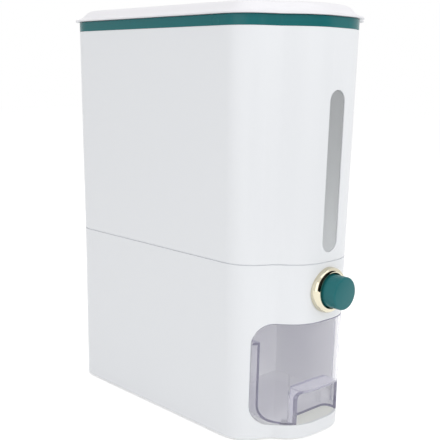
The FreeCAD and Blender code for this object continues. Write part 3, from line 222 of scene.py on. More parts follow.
def add_node(tree, kind, links=(), **settings):
    """Adds a node, sets its sockets and its own settings by name, and links (socket, source) pairs."""
    node = tree.nodes.new(kind)
    for key, value in settings.items():
        if key in node.inputs:
            node.inputs[key].default_value = value
        else:
            setattr(node, key, value)
    for socket, source in links:
        tree.links.new(source, node.inputs[socket])
    return node


def new_material(name):
    """An empty material and its tree."""
    material = bpy.data.materials.new(name)
    material.use_nodes = True
    material.node_tree.nodes.clear()
    return material, material.node_tree


def surface(tree, shader):
    """Ends a material in a shader."""
    add_node(tree, "ShaderNodeOutputMaterial", [("Surface", shader)])


def grain_bump(tree, grain_mm, depth_mm, strength):
    """Fine uneven surface of a moulded piece; grain and depth are in millimetres."""
    place = add_node(tree, "ShaderNodeTexCoord").outputs["Object"]
    grain = add_node(tree, "ShaderNodeTexNoise", [("Vector", place)], Scale=1000 / grain_mm, Detail=3.0,
                     Roughness=0.55)
    bump = add_node(tree, "ShaderNodeBump", [("Height", grain.outputs["Fac"])], Strength=strength,
                    Distance=depth_mm * MM)
    return bump.outputs["Normal"]


def mottled_roughness(tree, patch_mm, low, high):
    """Roughness that wanders a little between two values, over patches of a size."""
    place = add_node(tree, "ShaderNodeTexCoord").outputs["Object"]
    patches = add_node(tree, "ShaderNodeTexNoise", [("Vector", place)], Scale=1000 / patch_mm, Detail=2.0)
    spread = add_node(tree, "ShaderNodeMapRange", [("Value", patches.outputs["Fac"])])
    spread.inputs["To Min"].default_value = low
    spread.inputs["To Max"].default_value = high
    return spread.outputs["Result"]


def with_alpha(colour):
    """A colour as a shader's socket takes it."""
    return (*colour, 1.0)


def moulded_plastic(name, colour, low_gloss, high_gloss, sheen=0.5, grain_mm=1.2, depth_mm=0.02):
    """Opaque injection-moulded plastic: an even body colour under a soft sheen."""
    material, tree = new_material(name)
    body = add_node(tree, "ShaderNodeBsdfPrincipled",
                    [("Roughness", mottled_roughness(tree, 18.0, low_gloss, high_gloss)),
                     ("Normal", grain_bump(tree, grain_mm, depth_mm, 0.05))],
                    **{"Base Color": with_alpha(colour), "IOR": 1.52, "Specular IOR Level": sheen})
    surface(tree, body.outputs["BSDF"])
    return material


def clear_plastic(name, colour, haze_colour, haze, low_gloss, high_gloss):
    """Clear injection-moulded plastic with a faint haze: pale in front, lavender where walls are edge-on."""
    material, tree = new_material(name)
    gloss = mottled_roughness(tree, 12.0, low_gloss, high_gloss)
    body = add_node(tree, "ShaderNodeBsdfPrincipled", [("Roughness", gloss)],
                    **{"Base Color": with_alpha(colour), "IOR": 1.5, "Transmission Weight": 1.0})
    milk = add_node(tree, "ShaderNodeBsdfDiffuse", Color=with_alpha(haze_colour))
    hazy = add_node(tree, "ShaderNodeMixShader", [(1, body.outputs["BSDF"]), (2, milk.outputs[0])])
    hazy.inputs[0].default_value = haze
    # shadow and bounced light pass straight through, so the hollow behind is lit
    passed = add_node(tree, "ShaderNodeBsdfTransparent", Color=WHITE)
    path = add_node(tree, "ShaderNodeLightPath")
    lit = add_node(tree, "ShaderNodeMath", [(0, path.outputs["Is Shadow Ray"]),
                                            (1, path.outputs["Is Diffuse Ray"])], operation="MAXIMUM")
    both = add_node(tree, "ShaderNodeMixShader", [(0, lit.outputs[0]), (1, hazy.outputs[0]),
                                                  (2, passed.outputs[0])])
    surface(tree, both.outputs[0])
    return material


# painted light at the level window's foot and painted shade at its head, as factors on its colour, and how
# far up its own colour stands
WINDOW_PAINTED_LIGHT = 1.25
WINDOW_PAINTED_SHADE = 0.86
WINDOW_MIDDLE = 0.62


def frosted_window(name, colour):
    """Frosted polycarbonate: grey and soft, with painted light in its colour towards its foot and painted
    shade towards its head.
    """
    material, tree = new_material(name)
    low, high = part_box("window_lens")
    place = add_node(tree, "ShaderNodeTexCoord").outputs["Object"]
    apart = add_node(tree, "ShaderNodeSeparateXYZ", [("Vector", place)])
    height = add_node(tree, "ShaderNodeMapRange", [("Value", apart.outputs["Z"])])
    height.inputs["From Min"].default_value = low.z
    height.inputs["From Max"].default_value = high.z
    tint = add_node(tree, "ShaderNodeValToRGB", [("Fac", height.outputs["Result"])])
    # painted light towards the window's foot and painted shade towards its head, set in the colour ramp by
    # height
    pale = [min(1.0, channel * WINDOW_PAINTED_LIGHT) for channel in colour]
    dull = [channel * WINDOW_PAINTED_SHADE for channel in colour]
    tint.color_ramp.elements[0].color = with_alpha(pale)
    tint.color_ramp.elements[1].color = with_alpha(dull)
    tint.color_ramp.elements.new(WINDOW_MIDDLE).color = with_alpha(colour)
    body = add_node(tree, "ShaderNodeBsdfPrincipled",
                    [("Base Color", tint.outputs["Color"]),
                     ("Roughness", mottled_roughness(tree, 12.0, 0.3, 0.36))],
                    **{"IOR": 1.58, "Transmission Weight": 0.35})
    surface(tree, body.outputs["BSDF"])
    return material


def bright_plating(name, colour):
    """Tinted chrome plating on plastic: a mirror with faint waves from the moulding beneath."""
    material, tree = new_material(name)
    body = add_node(tree, "ShaderNodeBsdfPrincipled",
                    [("Roughness", mottled_roughness(tree, 6.0, 0.04, 0.08)),
                     ("Normal", grain_bump(tree, 5.0, 0.03, 0.15))],
                    **{"Base Color": with_alpha(colour), "Metallic": 1.0})
    surface(tree, body.outputs["BSDF"])
    return material


def drawn_steel(name, colour, low_gloss, high_gloss):
    """Zinc-plated steel: a dull grey metal with fine cloudy patches."""
    material, tree = new_material(name)
    body = add_node(tree, "ShaderNodeBsdfPrincipled",
                    [("Roughness", mottled_roughness(tree, 1.5, low_gloss, high_gloss)),
                     ("Normal", grain_bump(tree, 0.4, 0.01, 0.1))],
                    **{"Base Color": with_alpha(colour), "Metallic": 1.0})
    surface(tree, body.outputs["BSDF"])
    return material


def silicone_rubber(name, colour):
    """Translucent silicone: milky, with light that soaks in a little."""
    material, tree = new_material(name)
    body = add_node(tree, "ShaderNodeBsdfPrincipled",
                    [("Roughness", mottled_roughness(tree, 8.0, 0.42, 0.55)),
                     ("Normal", grain_bump(tree, 0.8, 0.02, 0.1))],
                    **{"Base Color": with_alpha(colour), "IOR": 1.41, "Subsurface Weight": 0.3,
                       "Subsurface Scale": 1.5 * MM})
    surface(tree, body.outputs["BSDF"])
    return material


def foot_rubber(name, colour):
    """Moulded rubber with a dull, finely pitted skin."""
    material, tree = new_material(name)
    body = add_node(tree, "ShaderNodeBsdfPrincipled",
                    [("Roughness", mottled_roughness(tree, 4.0, 0.7, 0.85)),
                     ("Normal", grain_bump(tree, 0.5, 0.04, 0.3))],
                    **{"Base Color": with_alpha(colour), "IOR": 1.5})
    surface(tree, body.outputs["BSDF"])
    return material


def seen_ray(tree):
    """1 where the eye, a reflection or a look through clear plastic meets the background."""
    path = add_node(tree, "ShaderNodeLightPath")
    mirrored = add_node(tree, "ShaderNodeMath", [(0, path.outputs["Is Camera Ray"]),
                                                 (1, path.outputs["Is Glossy Ray"])],
                        operation="MAXIMUM")
    seen = add_node(tree, "ShaderNodeMath", [(0, mirrored.outputs[0]),
                                             (1, path.outputs["Is Transmission Ray"])],
                    operation="MAXIMUM")
    return seen.outputs[0]


def pale_floor(name, colour, glow):
    """Matt pale floor that keeps the shadow and otherwise shows as white as the room."""
    material, tree = new_material(name)
    matt = add_node(tree, "ShaderNodeBsdfDiffuse", Color=with_alpha(colour))
    lit = add_node(tree, "ShaderNodeEmission", [("Strength", seen_ray(tree))],
                   Color=(glow, glow, glow, 1.0))
    both = add_node(tree, "ShaderNodeAddShader", [(0, matt.outputs[0]), (1, lit.outputs[0])])
    surface(tree, both.outputs[0])
    return material


def dark_card(name, colour):
    """Matt black paper, for the card whose reflection draws a dark streak in the plating."""
    material, tree = new_material(name)
    matt = add_node(tree, "ShaderNodeBsdfDiffuse", Color=with_alpha(colour))
    surface(tree, matt.outputs[0])
    return material


FINISHES = {}


def finish_of(key):
    """The material of a finish, made once."""
    if key in FINISHES:
        return FINISHES[key]
    colours = bpy.context.scene.dispenser_finish
    makers = {
        "shell": lambda: moulded_plastic("ABS_white_satin_moulded", colours.shell_colour, 0.32, 0.4),
        "lid": lambda: moulded_plastic("ABS_white_lid_moulded", colours.lid_colour, 0.3, 0.38),
        "inner": lambda: moulded_plastic("PP_white_inner_moulded", colours.inner_colour, 0.45, 0.55),
        "ring": lambda: moulded_plastic("ABS_teal_ring_moulded", colours.ring_colour, 0.22, 0.3, 0.25),
        "button": lambda: moulded_plastic("ABS_teal_button_moulded", colours.button_colour, 0.3, 0.38, 0.25),
        "slide": lambda: moulded_plastic("POM_grey_slide_moulded", hex_colour("#A9ACAD"), 0.35, 0.45),
        "bezel": lambda: bright_plating("Chrome_cream_bezel_plated", colours.bezel_colour),
        "drawer": lambda: clear_plastic("SAN_clear_drawer_moulded", colours.clear_colour,
                                        colours.haze_colour, 0.12, 0.0, 0.03),
        "lens": lambda: frosted_window("PC_frosted_window_moulded", colours.lens_colour),
        "silicone": lambda: silicone_rubber("Silicone_translucent_seal", hex_colour("#D9DAD8")),
        "rubber": lambda: foot_rubber("Rubber_grey_foot_moulded", hex_colour("#4A4C4D")),
        "steel": lambda: drawn_steel("Steel_zinc_plated_screw", hex_colour("#B4B6B8"), 0.25, 0.4),
        "spring": lambda: drawn_steel("Steel_spring_wire_drawn", hex_colour("#A7A9AB"), 0.2, 0.3),
    }
    FINISHES[key] = makers[key]()
    return FINISHES[key]


# ---------------------------------------------------------------------------------------------
# Pieces


def new_piece(name, mesh, body, node_names, finish):
    """A finished piece that stands for CAD nodes and rides on a body."""
    piece = bpy.data.objects.new(name, mesh)
    bpy.context.scene.collection.objects.link(piece)
    mesh.materials.clear()
    mesh.materials.append(finish_of(finish))
    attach(piece, body)
    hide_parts(*node_names)
    return piece


def soften(mesh, angle=SHARP_ANGLE):
    """Smooth shading that breaks at real edges."""
    mesh.polygons.foreach_set("use_smooth", [True] * len(mesh.polygons))
    mesh.set_sharp_from_angle(angle=angle)


def merged_copy(node):
    """A copy of a CAD node's mesh with its loose triangles joined and its flat faces made whole."""
    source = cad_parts[node].data
    made = bmesh.new()
    made.from_mesh(source)
    bmesh.ops.remove_doubles(made, verts=made.verts, dist=WELD)
    bmesh.ops.dissolve_degenerate(made, dist=SHORT_EDGE, edges=made.edges)
    bmesh.ops.dissolve_limit(made, angle_limit=FLAT_ANGLE, verts=made.verts, edges=made.edges)
    mesh = bpy.data.meshes.new(node + "_dressed")
    made.to_mesh(mesh)
    made.free()
    for attribute in list(mesh.attributes):
        if attribute.name.startswith("custom"):
            mesh.attributes.remove(attribute)
    return mesh


def weigh_edges(mesh, is_rounded):
    """Marks the real edges that get a rounding."""
    made = bmesh.new()
    made.from_mesh(mesh)
    weight = made.edges.layers.float.new("bevel_weight_edge")
    for edge in made.edges:
        if len(edge.link_faces) == 2 and edge.calc_face_angle(0.0) > SHARP_ANGLE and is_rounded(edge):
            edge[weight] = 1.0
    made.to_mesh(mesh)
    made.free()


def dressed(name, node, body, finish, rounding=0.0, is_rounded=None):
    """A CAD node's own shape, with softened edges and smooth rounds."""
    mesh = merged_copy(node)
    if is_rounded:
        weigh_edges(mesh, is_rounded)
    piece = new_piece(name, mesh, body, [node], finish)
    if rounding:
        bevel = piece.modifiers.new("Moulded edges", "BEVEL")
        bevel.width = rounding
        bevel.segments = 3
        bevel.limit_method = "WEIGHT" if is_rounded else "ANGLE"
        bevel.angle_limit = SHARP_ANGLE
        bevel.use_clamp_overlap = False
        bevel.loop_slide = False
        bevel.harden_normals = False
    soften(mesh)
    return piece


def opening_edges():
    """Test for the outer edges round the drawer opening, in the base and on the drawer's own front."""
    low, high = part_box("drawer")
    reach = 2 * MM

    def is_outer(edge):
        """True near the opening where a face looks to the front."""
        middle = (edge.verts[0].co + edge.verts[1].co) / 2
        near = abs(middle.x) < high.x + reach and low.z - reach < middle.z < high.z + reach
        return near and any(face.normal.y < -0.4 for face in edge.link_faces)

    return is_outer


def outline_points(inset):
    """Plan outline of the body inside its face by an inset, from the middle of the nose round to it."""
    plan = bpy.context.scene.dispenser_body
    reach = plan.neck_radius + plan.corner_radius
    hollow = (plan.nose_radius + plan.neck_radius) * math.sin(plan.nose_turn)
    excess = plan.nose_flat / 2 + plan.corner_radius - plan.body_width / 2 + hollow
    slope = (math.asin(excess / math.hypot(reach, plan.shoulder_length))
             + math.atan2(plan.shoulder_length, reach))
    low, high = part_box("trim_ring")
    heading = 0.0
    spot = Vector((0.0, low.y + inset))
    points = [spot.copy()]

    def straight(length):
        """Goes on straight ahead."""
        nonlocal spot
        spot = spot + Vector((math.cos(heading), math.sin(heading))) * length
        points.append(spot.copy())

    def round_by(radius, turn):
        """Goes round a bend, to the left where the turn is positive."""
        nonlocal spot, heading
        side = math.copysign(math.pi / 2, turn)
        centre = spot + Vector((math.cos(heading + side), math.sin(heading + side))) * radius
        for step in range(1, plan.outline_steps + 1):
            angle = heading - side + turn * step / plan.outline_steps
            points.append(centre + Vector((math.cos(angle), math.sin(angle))) * radius)
        spot = points[-1].copy()
        heading += turn

    straight(plan.nose_flat / 2)
    round_by(plan.nose_radius - inset, plan.nose_turn)
    round_by(plan.neck_radius + inset, slope - plan.nose_turn)
    straight(plan.shoulder_length)
    round_by(plan.corner_radius - inset, math.pi / 2 - slope)
    straight(high.y - plan.rear_radius - spot.y)
    round_by(plan.rear_radius - inset, math.pi / 2)
    straight(spot.x)
    mirrored = [Vector((-point.x, point.y)) for point in reversed(points[1:-1])]
    return points + mirrored


def new_tree(name, inputs):
    """A Geometry Nodes tree with one mesh in, one mesh out and named inputs for its sizes."""
    tree = bpy.data.node_groups.new(name, "GeometryNodeTree")
    tree.is_modifier = True
    tree.interface.new_socket("Geometry", in_out="OUTPUT", socket_type="NodeSocketGeometry")
    tree.interface.new_socket("Geometry", in_out="INPUT", socket_type="NodeSocketGeometry")
    for label, kind in inputs.items():
        tree.interface.new_socket(label, in_out="INPUT", socket_type="NodeSocket" + kind)
    return tree, add_node(tree, "NodeGroupInput").outputs


def end_tree(tree, geometry, finish):
    """Ends a Geometry Nodes tree in plain geometry of one finish."""
    whole = add_node(tree, "GeometryNodeRealizeInstances", [("Geometry", geometry)])
    painted = add_node(tree, "GeometryNodeSetMaterial", [("Geometry", whole.outputs[0])],
                       Material=finish_of(finish))
    add_node(tree, "NodeGroupOutput", [("Geometry", painted.outputs[0])])


def run_tree(tree, mesh, values):
    """Runs a tree on a mesh with the values of its named inputs, and returns a plain mesh."""
    holder = bpy.data.objects.new(tree.name, mesh)
    bpy.context.scene.collection.objects.link(holder)
    modifier = holder.modifiers.new(tree.name, "NODES")
    modifier.node_group = tree
    for socket in tree.interface.items_tree:
        if socket.in_out == "INPUT" and socket.name in values:
            modifier[socket.identifier] = values[socket.name]
    graph = bpy.context.evaluated_depsgraph_get()
    made = bpy.data.meshes.new_from_object(holder.evaluated_get(graph))
    made.name = tree.name
    holder.modifiers.remove(modifier)
    bpy.data.objects.remove(holder)
    return made


def band_tree(finish):
    """A band of rectangular section that follows a closed path."""
    tree, given = new_tree("Band", {"Depth": "Float", "Height": "Float"})
    path = add_node(tree, "GeometryNodeMeshToCurve", [("Mesh", given["Geometry"])])
    section = add_node(tree, "GeometryNodeCurvePrimitiveQuadrilateral",
                       [("Width", given["Height"]), ("Height", given["Depth"])])
    band = add_node(tree, "GeometryNodeCurveToMesh",
                    [("Curve", path.outputs[0]), ("Profile Curve", section.outputs[0])])
    end_tree(tree, band.outputs[0], finish)
    return tree


# how deep the seam's groove is, and how thick the land behind it
SEAM_DEPTH = 0.8 * MM
SEAM_LAND = 1.0 * MM


def seam_land(depth_behind, depth):
    """The hopper's land behind the seam, so that the joint is a shallow groove."""
    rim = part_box("trim_ring")[1]
    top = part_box("base_shell")[1]
    foot = top.z
    head = foot + bpy.context.scene.dispenser_body.seam_gap
    places = [(point.x, point.y, (foot + head) / 2)
              for point in outline_points(rim.x - top.x + depth_behind + depth / 2)]
    path = bpy.data.meshes.new("Seam_path")
    path.from_pydata(places, [(place, (place + 1) % len(places)) for place in range(len(places))], [])
    return run_tree(band_tree("shell"), path, {"Depth": depth, "Height": head - foot})


# course of the coil: at this share of its length it has risen by this share of its height
CLOSED_ENDS = [(0.12, 0.045), (0.88, 0.955)]


def spring_tree(finish):
    """A coil spring with closed ends along +Z, from round wire."""
    tree, given = new_tree("Coil_spring", {"Coils": "Float", "Radius": "Float", "Wire radius": "Float",
                                           "Length": "Float"})
    coil = add_node(tree, "GeometryNodeCurveSpiral",
                    [("Rotations", given["Coils"]), ("Start Radius", given["Radius"]),
                     ("End Radius", given["Radius"]), ("Height", given["Length"])], Resolution=40)
    share = add_node(tree, "GeometryNodeSplineParameter")
    rise = add_node(tree, "ShaderNodeFloatCurve", [("Value", share.outputs["Factor"])])
    course = rise.mapping.curves[0].points
    for share_along, share_up in CLOSED_ENDS:
        course.new(share_along, share_up)
    for point in course:
        point.handle_type = "AUTO"
    rise.mapping.update()
    place = add_node(tree, "GeometryNodeInputPosition")
    apart = add_node(tree, "ShaderNodeSeparateXYZ", [("Vector", place.outputs[0])])
    height = add_node(tree, "ShaderNodeMath", [(0, rise.outputs[0]), (1, given["Length"])],
                      operation="MULTIPLY")
    closed = add_node(tree, "ShaderNodeCombineXYZ", [("X", apart.outputs["X"]), ("Y", apart.outputs["Y"]),
                                                     ("Z", height.outputs[0])])
    wound = add_node(tree, "GeometryNodeSetPosition", [("Geometry", coil.outputs[0]),
                                                       ("Position", closed.outputs[0])])
    section = add_node(tree, "GeometryNodeCurvePrimitiveCircle", [("Radius", given["Wire radius"])],
                       Resolution=12)
    wire = add_node(tree, "GeometryNodeCurveToMesh", [("Curve", wound.outputs[0]),
                                                      ("Profile Curve", section.outputs[0])])
    wire.inputs["Fill Caps"].default_value = True
    end_tree(tree, wire.outputs[0], finish)
    return tree


def turned(name, profile, steps, closed=False):
    """Solid of revolution about Z; (radius, height) pairs run from axis to axis, or close on themselves."""
    made = bmesh.new()
    spine = [made.verts.new((radius, 0.0, height)) for radius, height in profile]
    for first, second in zip(spine, spine[1:] + spine[:1] if closed else spine[1:]):
        made.edges.new((first, second))
    bmesh.ops.spin(made, geom=made.verts[:] + made.edges[:], axis=(0, 0, 1), cent=(0, 0, 0),
                   steps=steps, angle=2 * math.pi)
    bmesh.ops.remove_doubles(made, verts=made.verts, dist=WELD)
    bmesh.ops.recalc_face_normals(made, faces=made.faces)
    mesh = bpy.data.meshes.new(name)
    made.to_mesh(mesh)
    made.free()
    return mesh


def repeat_tree(name, finish, inputs, one):
    """Repeats one piece at two or four places that mirror each other about a middle."""
    tree, given = new_tree(name, {"Count": "Int", "Middle": "Vector", "Across": "Float", "Along": "Float",
                                  "Turn": "Float", **inputs})
    number = add_node(tree, "GeometryNodeInputIndex")
    side = add_node(tree, "ShaderNodeMath", [(0, number.outputs[0])], operation="MODULO")
    side.inputs[1].default_value = 2
    half = add_node(tree, "ShaderNodeMath", [(0, number.outputs[0])], operation="MULTIPLY")
    half.inputs[1].default_value = 0.5
    row = add_node(tree, "ShaderNodeMath", [(0, half.outputs[0])], operation="FLOOR")
    steps = []
    for place, spread in ((side, given["Across"]), (row, given["Along"])):
        centred = add_node(tree, "ShaderNodeMath", [(0, place.outputs[0])], operation="SUBTRACT")
        centred.inputs[1].default_value = 0.5
        steps.append(add_node(tree, "ShaderNodeMath", [(0, centred.outputs[0]), (1, spread)],
                              operation="MULTIPLY").outputs[0])
    offset = add_node(tree, "ShaderNodeCombineXYZ", [("X", steps[0]), ("Y", steps[1])])
    spot = add_node(tree, "ShaderNodeVectorMath", [(0, offset.outputs[0]), (1, given["Middle"])],
                    operation="ADD")
    spots = add_node(tree, "GeometryNodePoints", [("Count", given["Count"]), ("Position", spot.outputs[0])])
    heading = add_node(tree, "ShaderNodeCombineXYZ", [("X", given["Turn"])])
    placed = add_node(tree, "GeometryNodeInstanceOnPoints",
                      [("Points", spots.outputs[0]), ("Instance", one(tree, given)),
                       ("Rotation", heading.outputs[0])])
    end_tree(tree, placed.outputs[0], finish)
    return tree


# sides of the turned pieces
SCREW_SIDES, FOOT_SIDES, BEZEL_SIDES = 24, 40, 96
# the cross recess and the thread of a screw
RECESS = (2.9 * MM, 0.75 * MM, 2.4 * MM)
THREAD_WIRE = 0.28 * MM
THREAD_START = 0.6 * MM
THREAD_PITCH = 1.2 * MM
POINT_LENGTH = 1.6 * MM


def recessed_and_threaded(tree, given):
    """Cuts a cross recess into the head of a turned screw and winds a thread round its shank."""
    blades = []
    for turn in (0.0, math.pi / 2):
        blade = add_node(tree, "GeometryNodeMeshCube", Size=RECESS)
        blades.append(add_node(tree, "GeometryNodeTransform", [("Geometry", blade.outputs[0]),
                                                               ("Translation", given["Head"])],
                               Rotation=(0, 0, turn)).outputs[0])
    cut = add_node(tree, "GeometryNodeMeshBoolean", [("Mesh 1", given["Geometry"])],
                   operation="DIFFERENCE", solver="EXACT")
    for blade in blades:
        tree.links.new(blade, cut.inputs["Mesh 2"])
    coil = add_node(tree, "GeometryNodeCurveSpiral",
                    [("Rotations", given["Thread turns"]), ("Start Radius", given["Shank radius"]),
                     ("End Radius", given["Shank radius"]), ("Height", given["Thread length"])],
                    Resolution=16)
    section = add_node(tree, "GeometryNodeCurvePrimitiveCircle", Resolution=3, Radius=THREAD_WIRE)
    thread = add_node(tree, "GeometryNodeCurveToMesh", [("Curve", coil.outputs[0]),
                                                        ("Profile Curve", section.outputs[0])])
    thread.inputs["Fill Caps"].default_value = True
    lifted = add_node(tree, "GeometryNodeTransform", [("Geometry", thread.outputs[0])],
                      Translation=(0, 0, THREAD_START))
    joined = add_node(tree, "GeometryNodeJoinGeometry")
    for part in (cut.outputs["Mesh"], lifted.outputs[0]):
        tree.links.new(part, joined.inputs[0])
    return joined.outputs[0]


def screws(name, node, points_up):
    """A group of pan-head screws where the CAD group has them."""
    sizes = bpy.context.scene.dispenser_body
    low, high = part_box(node)
    radius, height, shank = sizes.screw_head_radius, sizes.screw_head_height, sizes.screw_radius
    length = high.z - low.z - height
    edge = 0.6 * MM
    profile = [(0, -height), (radius - 1.6 * edge, -height), (radius - 0.5 * edge, -height + 0.35 * edge),
               (radius, -height + 1.4 * edge), (radius, -0.1 * MM), (radius - 0.1 * MM, 0),
               (shank - 0.15 * MM, 0), (shank - 0.15 * MM, length - 0.8 * MM), (0.4 * MM, length),
               (0, length)]
    head_at = low.z + height if points_up else high.z - height
    along = high.y - low.y - 2 * radius
    thread = length - POINT_LENGTH
    tree = repeat_tree("Screws", "steel", {"Head": "Vector", "Thread turns": "Float",
                                           "Shank radius": "Float", "Thread length": "Float"},
                       recessed_and_threaded)
    mesh = run_tree(tree, turned("Screw", profile, SCREW_SIDES), {
        "Count": 4 if along > MM else 2,
        "Middle": ((low.x + high.x) / 2, (low.y + high.y) / 2, head_at),
        "Across": high.x - low.x - 2 * radius, "Along": along, "Turn": 0.0 if points_up else math.pi,
        "Head": (0, 0, -height), "Thread turns": thread / THREAD_PITCH,
        "Shank radius": shank - 0.14 * MM, "Thread length": thread})
    soften(mesh)
    return new_piece(name, mesh, "housing", [node], "steel")


# section of the bezel's face in millimetres: (out from the bore, back) and (in from the edge, back)
BEZEL_FACE = [(0.0, 1.0), (0.12, 0.55), (0.4, 0.22), (0.8, 0.06), (1.3, 0.0), (1.9, 0.11), (2.5, 0.32),
              (3.1, 0.67)]
BEZEL_EDGE = [(1.4, 1.1), (0.95, 1.68), (0.6, 2.34), (0.3, 3.16), (0.12, 4.0), (0.0, 5.5)]


def bezel_mesh():
    """The bezel: a rounded ring with a fine lip at the button, seated on the curved nose."""
    sizes = bpy.context.scene.dispenser_body
    low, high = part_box("button_bezel")
    nose = low.y + sizes.bezel_proud
    outer = (high.x - low.x) / 2
    back = nose - high.y
    front = nose - low.y
    bore, barrel = sizes.bezel_bore, sizes.bezel_barrel
    face = [(bore + out * MM, -step) for out, step in BEZEL_FACE]
    face += [(outer - out * MM, -step) for out, step in BEZEL_EDGE]
    profile = [(outer, 0), *[(radius, front + step * MM) for radius, step in reversed(face)],
               (bore, back), (barrel, back), (barrel, 0)]
    mesh = turned("Button_bezel", profile, BEZEL_SIDES, closed=True)
    mesh.transform(Matrix.Translation((0, nose, (low.z + high.z) / 2)) @ Matrix.Rotation(math.pi / 2, 4, "X"))
    for vertex in mesh.vertices:
        if abs(vertex.co.y - nose) < 0.1 * MM:
            beside = max(0.0, abs(vertex.co.x) - sizes.nose_flat / 2)
            vertex.co.y += sizes.nose_radius - math.sqrt(sizes.nose_radius ** 2 - beside ** 2)
    soften(mesh)
    return mesh


# ---------------------------------------------------------------------------------------------
# Operators


class DISPENSER_OT_shells(bpy.types.Operator):
    """Dresses the base and the hopper"""

    bl_idname = "dispenser.shells"
    bl_label = "Shells"

    def execute(self, context):
        sizes = context.scene.dispenser_body
        dressed("Base_shell", "base_shell", "housing", "shell", sizes.opening_round,
                opening_edges())
        hopper = dressed("Hopper", "hopper", "housing", "shell", sizes.edge_round)
        made = bmesh.new()
        made.from_mesh(hopper.data)
        made.from_mesh(seam_land(SEAM_DEPTH, SEAM_LAND))
        made.to_mesh(hopper.data)
        made.free()
        soften(hopper.data)
        return {"FINISHED"}


class DISPENSER_OT_trim(bpy.types.Operator):
    """Dresses the trim ring on the hopper's rim"""

    bl_idname = "dispenser.trim"
    bl_label = "Trim ring"

    def execute(self, context):
        sizes = context.scene.dispenser_body
        dressed("Trim_ring", "trim_ring", "housing", "ring", sizes.edge_round)
        return {"FINISHED"}


class DISPENSER_OT_lid(bpy.types.Operator):
    """Dresses the lid and its seal"""

    bl_idname = "dispenser.lid"
    bl_label = "Lid"

    def execute(self, context):
        sizes = context.scene.dispenser_body
        dressed("Lid", "lid", "lid", "lid", sizes.edge_round)
        dressed("Lid_seal", "lid_seal", "lid", "silicone")
        return {"FINISHED"}


class DISPENSER_OT_window(bpy.types.Operator):
    """Dresses the level window"""

    bl_idname = "dispenser.window"
    bl_label = "Level window"

    def execute(self, context):
        dressed("Level_window", "window_lens", "housing", "lens")
        return {"FINISHED"}


class DISPENSER_OT_button(bpy.types.Operator):
    """Builds the button and its bezel"""

    bl_idname = "dispenser.button"
    bl_label = "Button and bezel"

    def execute(self, context):
        dressed("Push_button", "push_button", "button", "button")
        new_piece("Button_bezel", bezel_mesh(), "housing", ["button_bezel"], "bezel")
        dressed("Push_rod", "push_rod", "button", "slide")
        return {"FINISHED"}


class DISPENSER_OT_drawer(bpy.types.Operator):
    """Dresses the clear drawer"""

    bl_idname = "dispenser.drawer"
    bl_label = "Drawer"

    def execute(self, context):
        sizes = context.scene.dispenser_body
        dressed("Drawer", "drawer", "drawer", "drawer", sizes.drawer_round,
                opening_edges())
        return {"FINISHED"}


# where the top rails of the drawer's bay end in front, and how far they are set back
RAIL_FOOT, RAIL_TOP = 85 * MM, 91 * MM
RAIL_SIDE = 56 * MM
RAIL_FRONT = 36 * MM
RAIL_SET_BACK = 14 * MM

INNER_PIECES = [
    ("Bottom_cover", "bottom_cover", "housing", "inner_white", "inner"),
    ("Drawer_bay", "drawer_bay", "housing", "inner_white", "inner"),
    ("Deck", "deck", "housing", "inner_white", "inner"),
    ("Chute", "chute", "housing", "inner_white", "inner"),
    ("Gate_housing", "gate_housing", "housing", "inner_white", "inner"),
    ("Gate_cover", "gate_cover", "housing", "inner_white", "inner"),
    ("Bezel_nut", "bezel_nut", "housing", "inner_white", "inner"),
    ("Throat_seal", "throat_seal", "housing", "silicone", "silicone"),
    ("Gate_slide", "gate_slide", "button", "slide_grey", "slide"),
]
# name, CAD group, and whether the points face up
SCREWS = [
    ("Cover_screws", "cover_screws", True),
    ("Bay_screws", "bay_screws", True),
    ("Deck_screws", "deck_screws", False),
    ("Gate_screws", "gate_screws", True),
    ("Hopper_screws", "hopper_screws", True),
]
# the foot's ring grooves, as shares of its radius, half their width, and the slope at the stem's tip
SOLE_GROOVES = (0.3, 0.52, 0.74)
FOOT_GROOVE = 0.5 * MM
FOOT_TIP = 0.8 * MM
FEET = ("front_left_foot", "front_right_foot", "rear_left_foot", "rear_right_foot")


class DISPENSER_OT_fasteners(bpy.types.Operator):
    """Repeats the screws and the rubber feet"""

    bl_idname = "dispenser.fasteners"
    bl_label = "Screws and feet"

    def execute(self, context):
        for name, node, points_up in SCREWS:
            screws(name, node, points_up)
        low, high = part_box(FEET[0])
        far_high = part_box(FEET[-1])[1]
        sizes = context.scene.dispenser_body
        pad, stem, radius = sizes.foot_pad, sizes.foot_stem, (high.x - low.x) / 2
        groove, tip = FOOT_GROOVE, FOOT_TIP
        sole = []
        for share in SOLE_GROOVES:
            middle = share * radius
            sole += [(middle - groove, 0), (middle - groove, groove), (middle + groove, groove),
                     (middle + groove, 0)]
        profile = [(0, 0), *sole, (radius - groove, 0), (radius, groove), (radius, pad - groove),
                   (radius - groove, pad), (stem, pad), (stem, high.z - tip), (stem - tip, high.z),
                   (0, high.z)]
        tree = repeat_tree("Feet", "rubber", {}, lambda tree, given: given["Geometry"])
        mesh = run_tree(tree, turned("Foot", profile, FOOT_SIDES), {
            "Count": 4, "Across": far_high.x - low.x - 2 * radius, "Along": far_high.y - low.y - 2 * radius,
            "Middle": ((low.x + far_high.x) / 2, (low.y + far_high.y) / 2, low.z), "Turn": 0.0})
        soften(mesh)
        new_piece("Feet", mesh, "housing", FEET, "rubber")
        return {"FINISHED"}


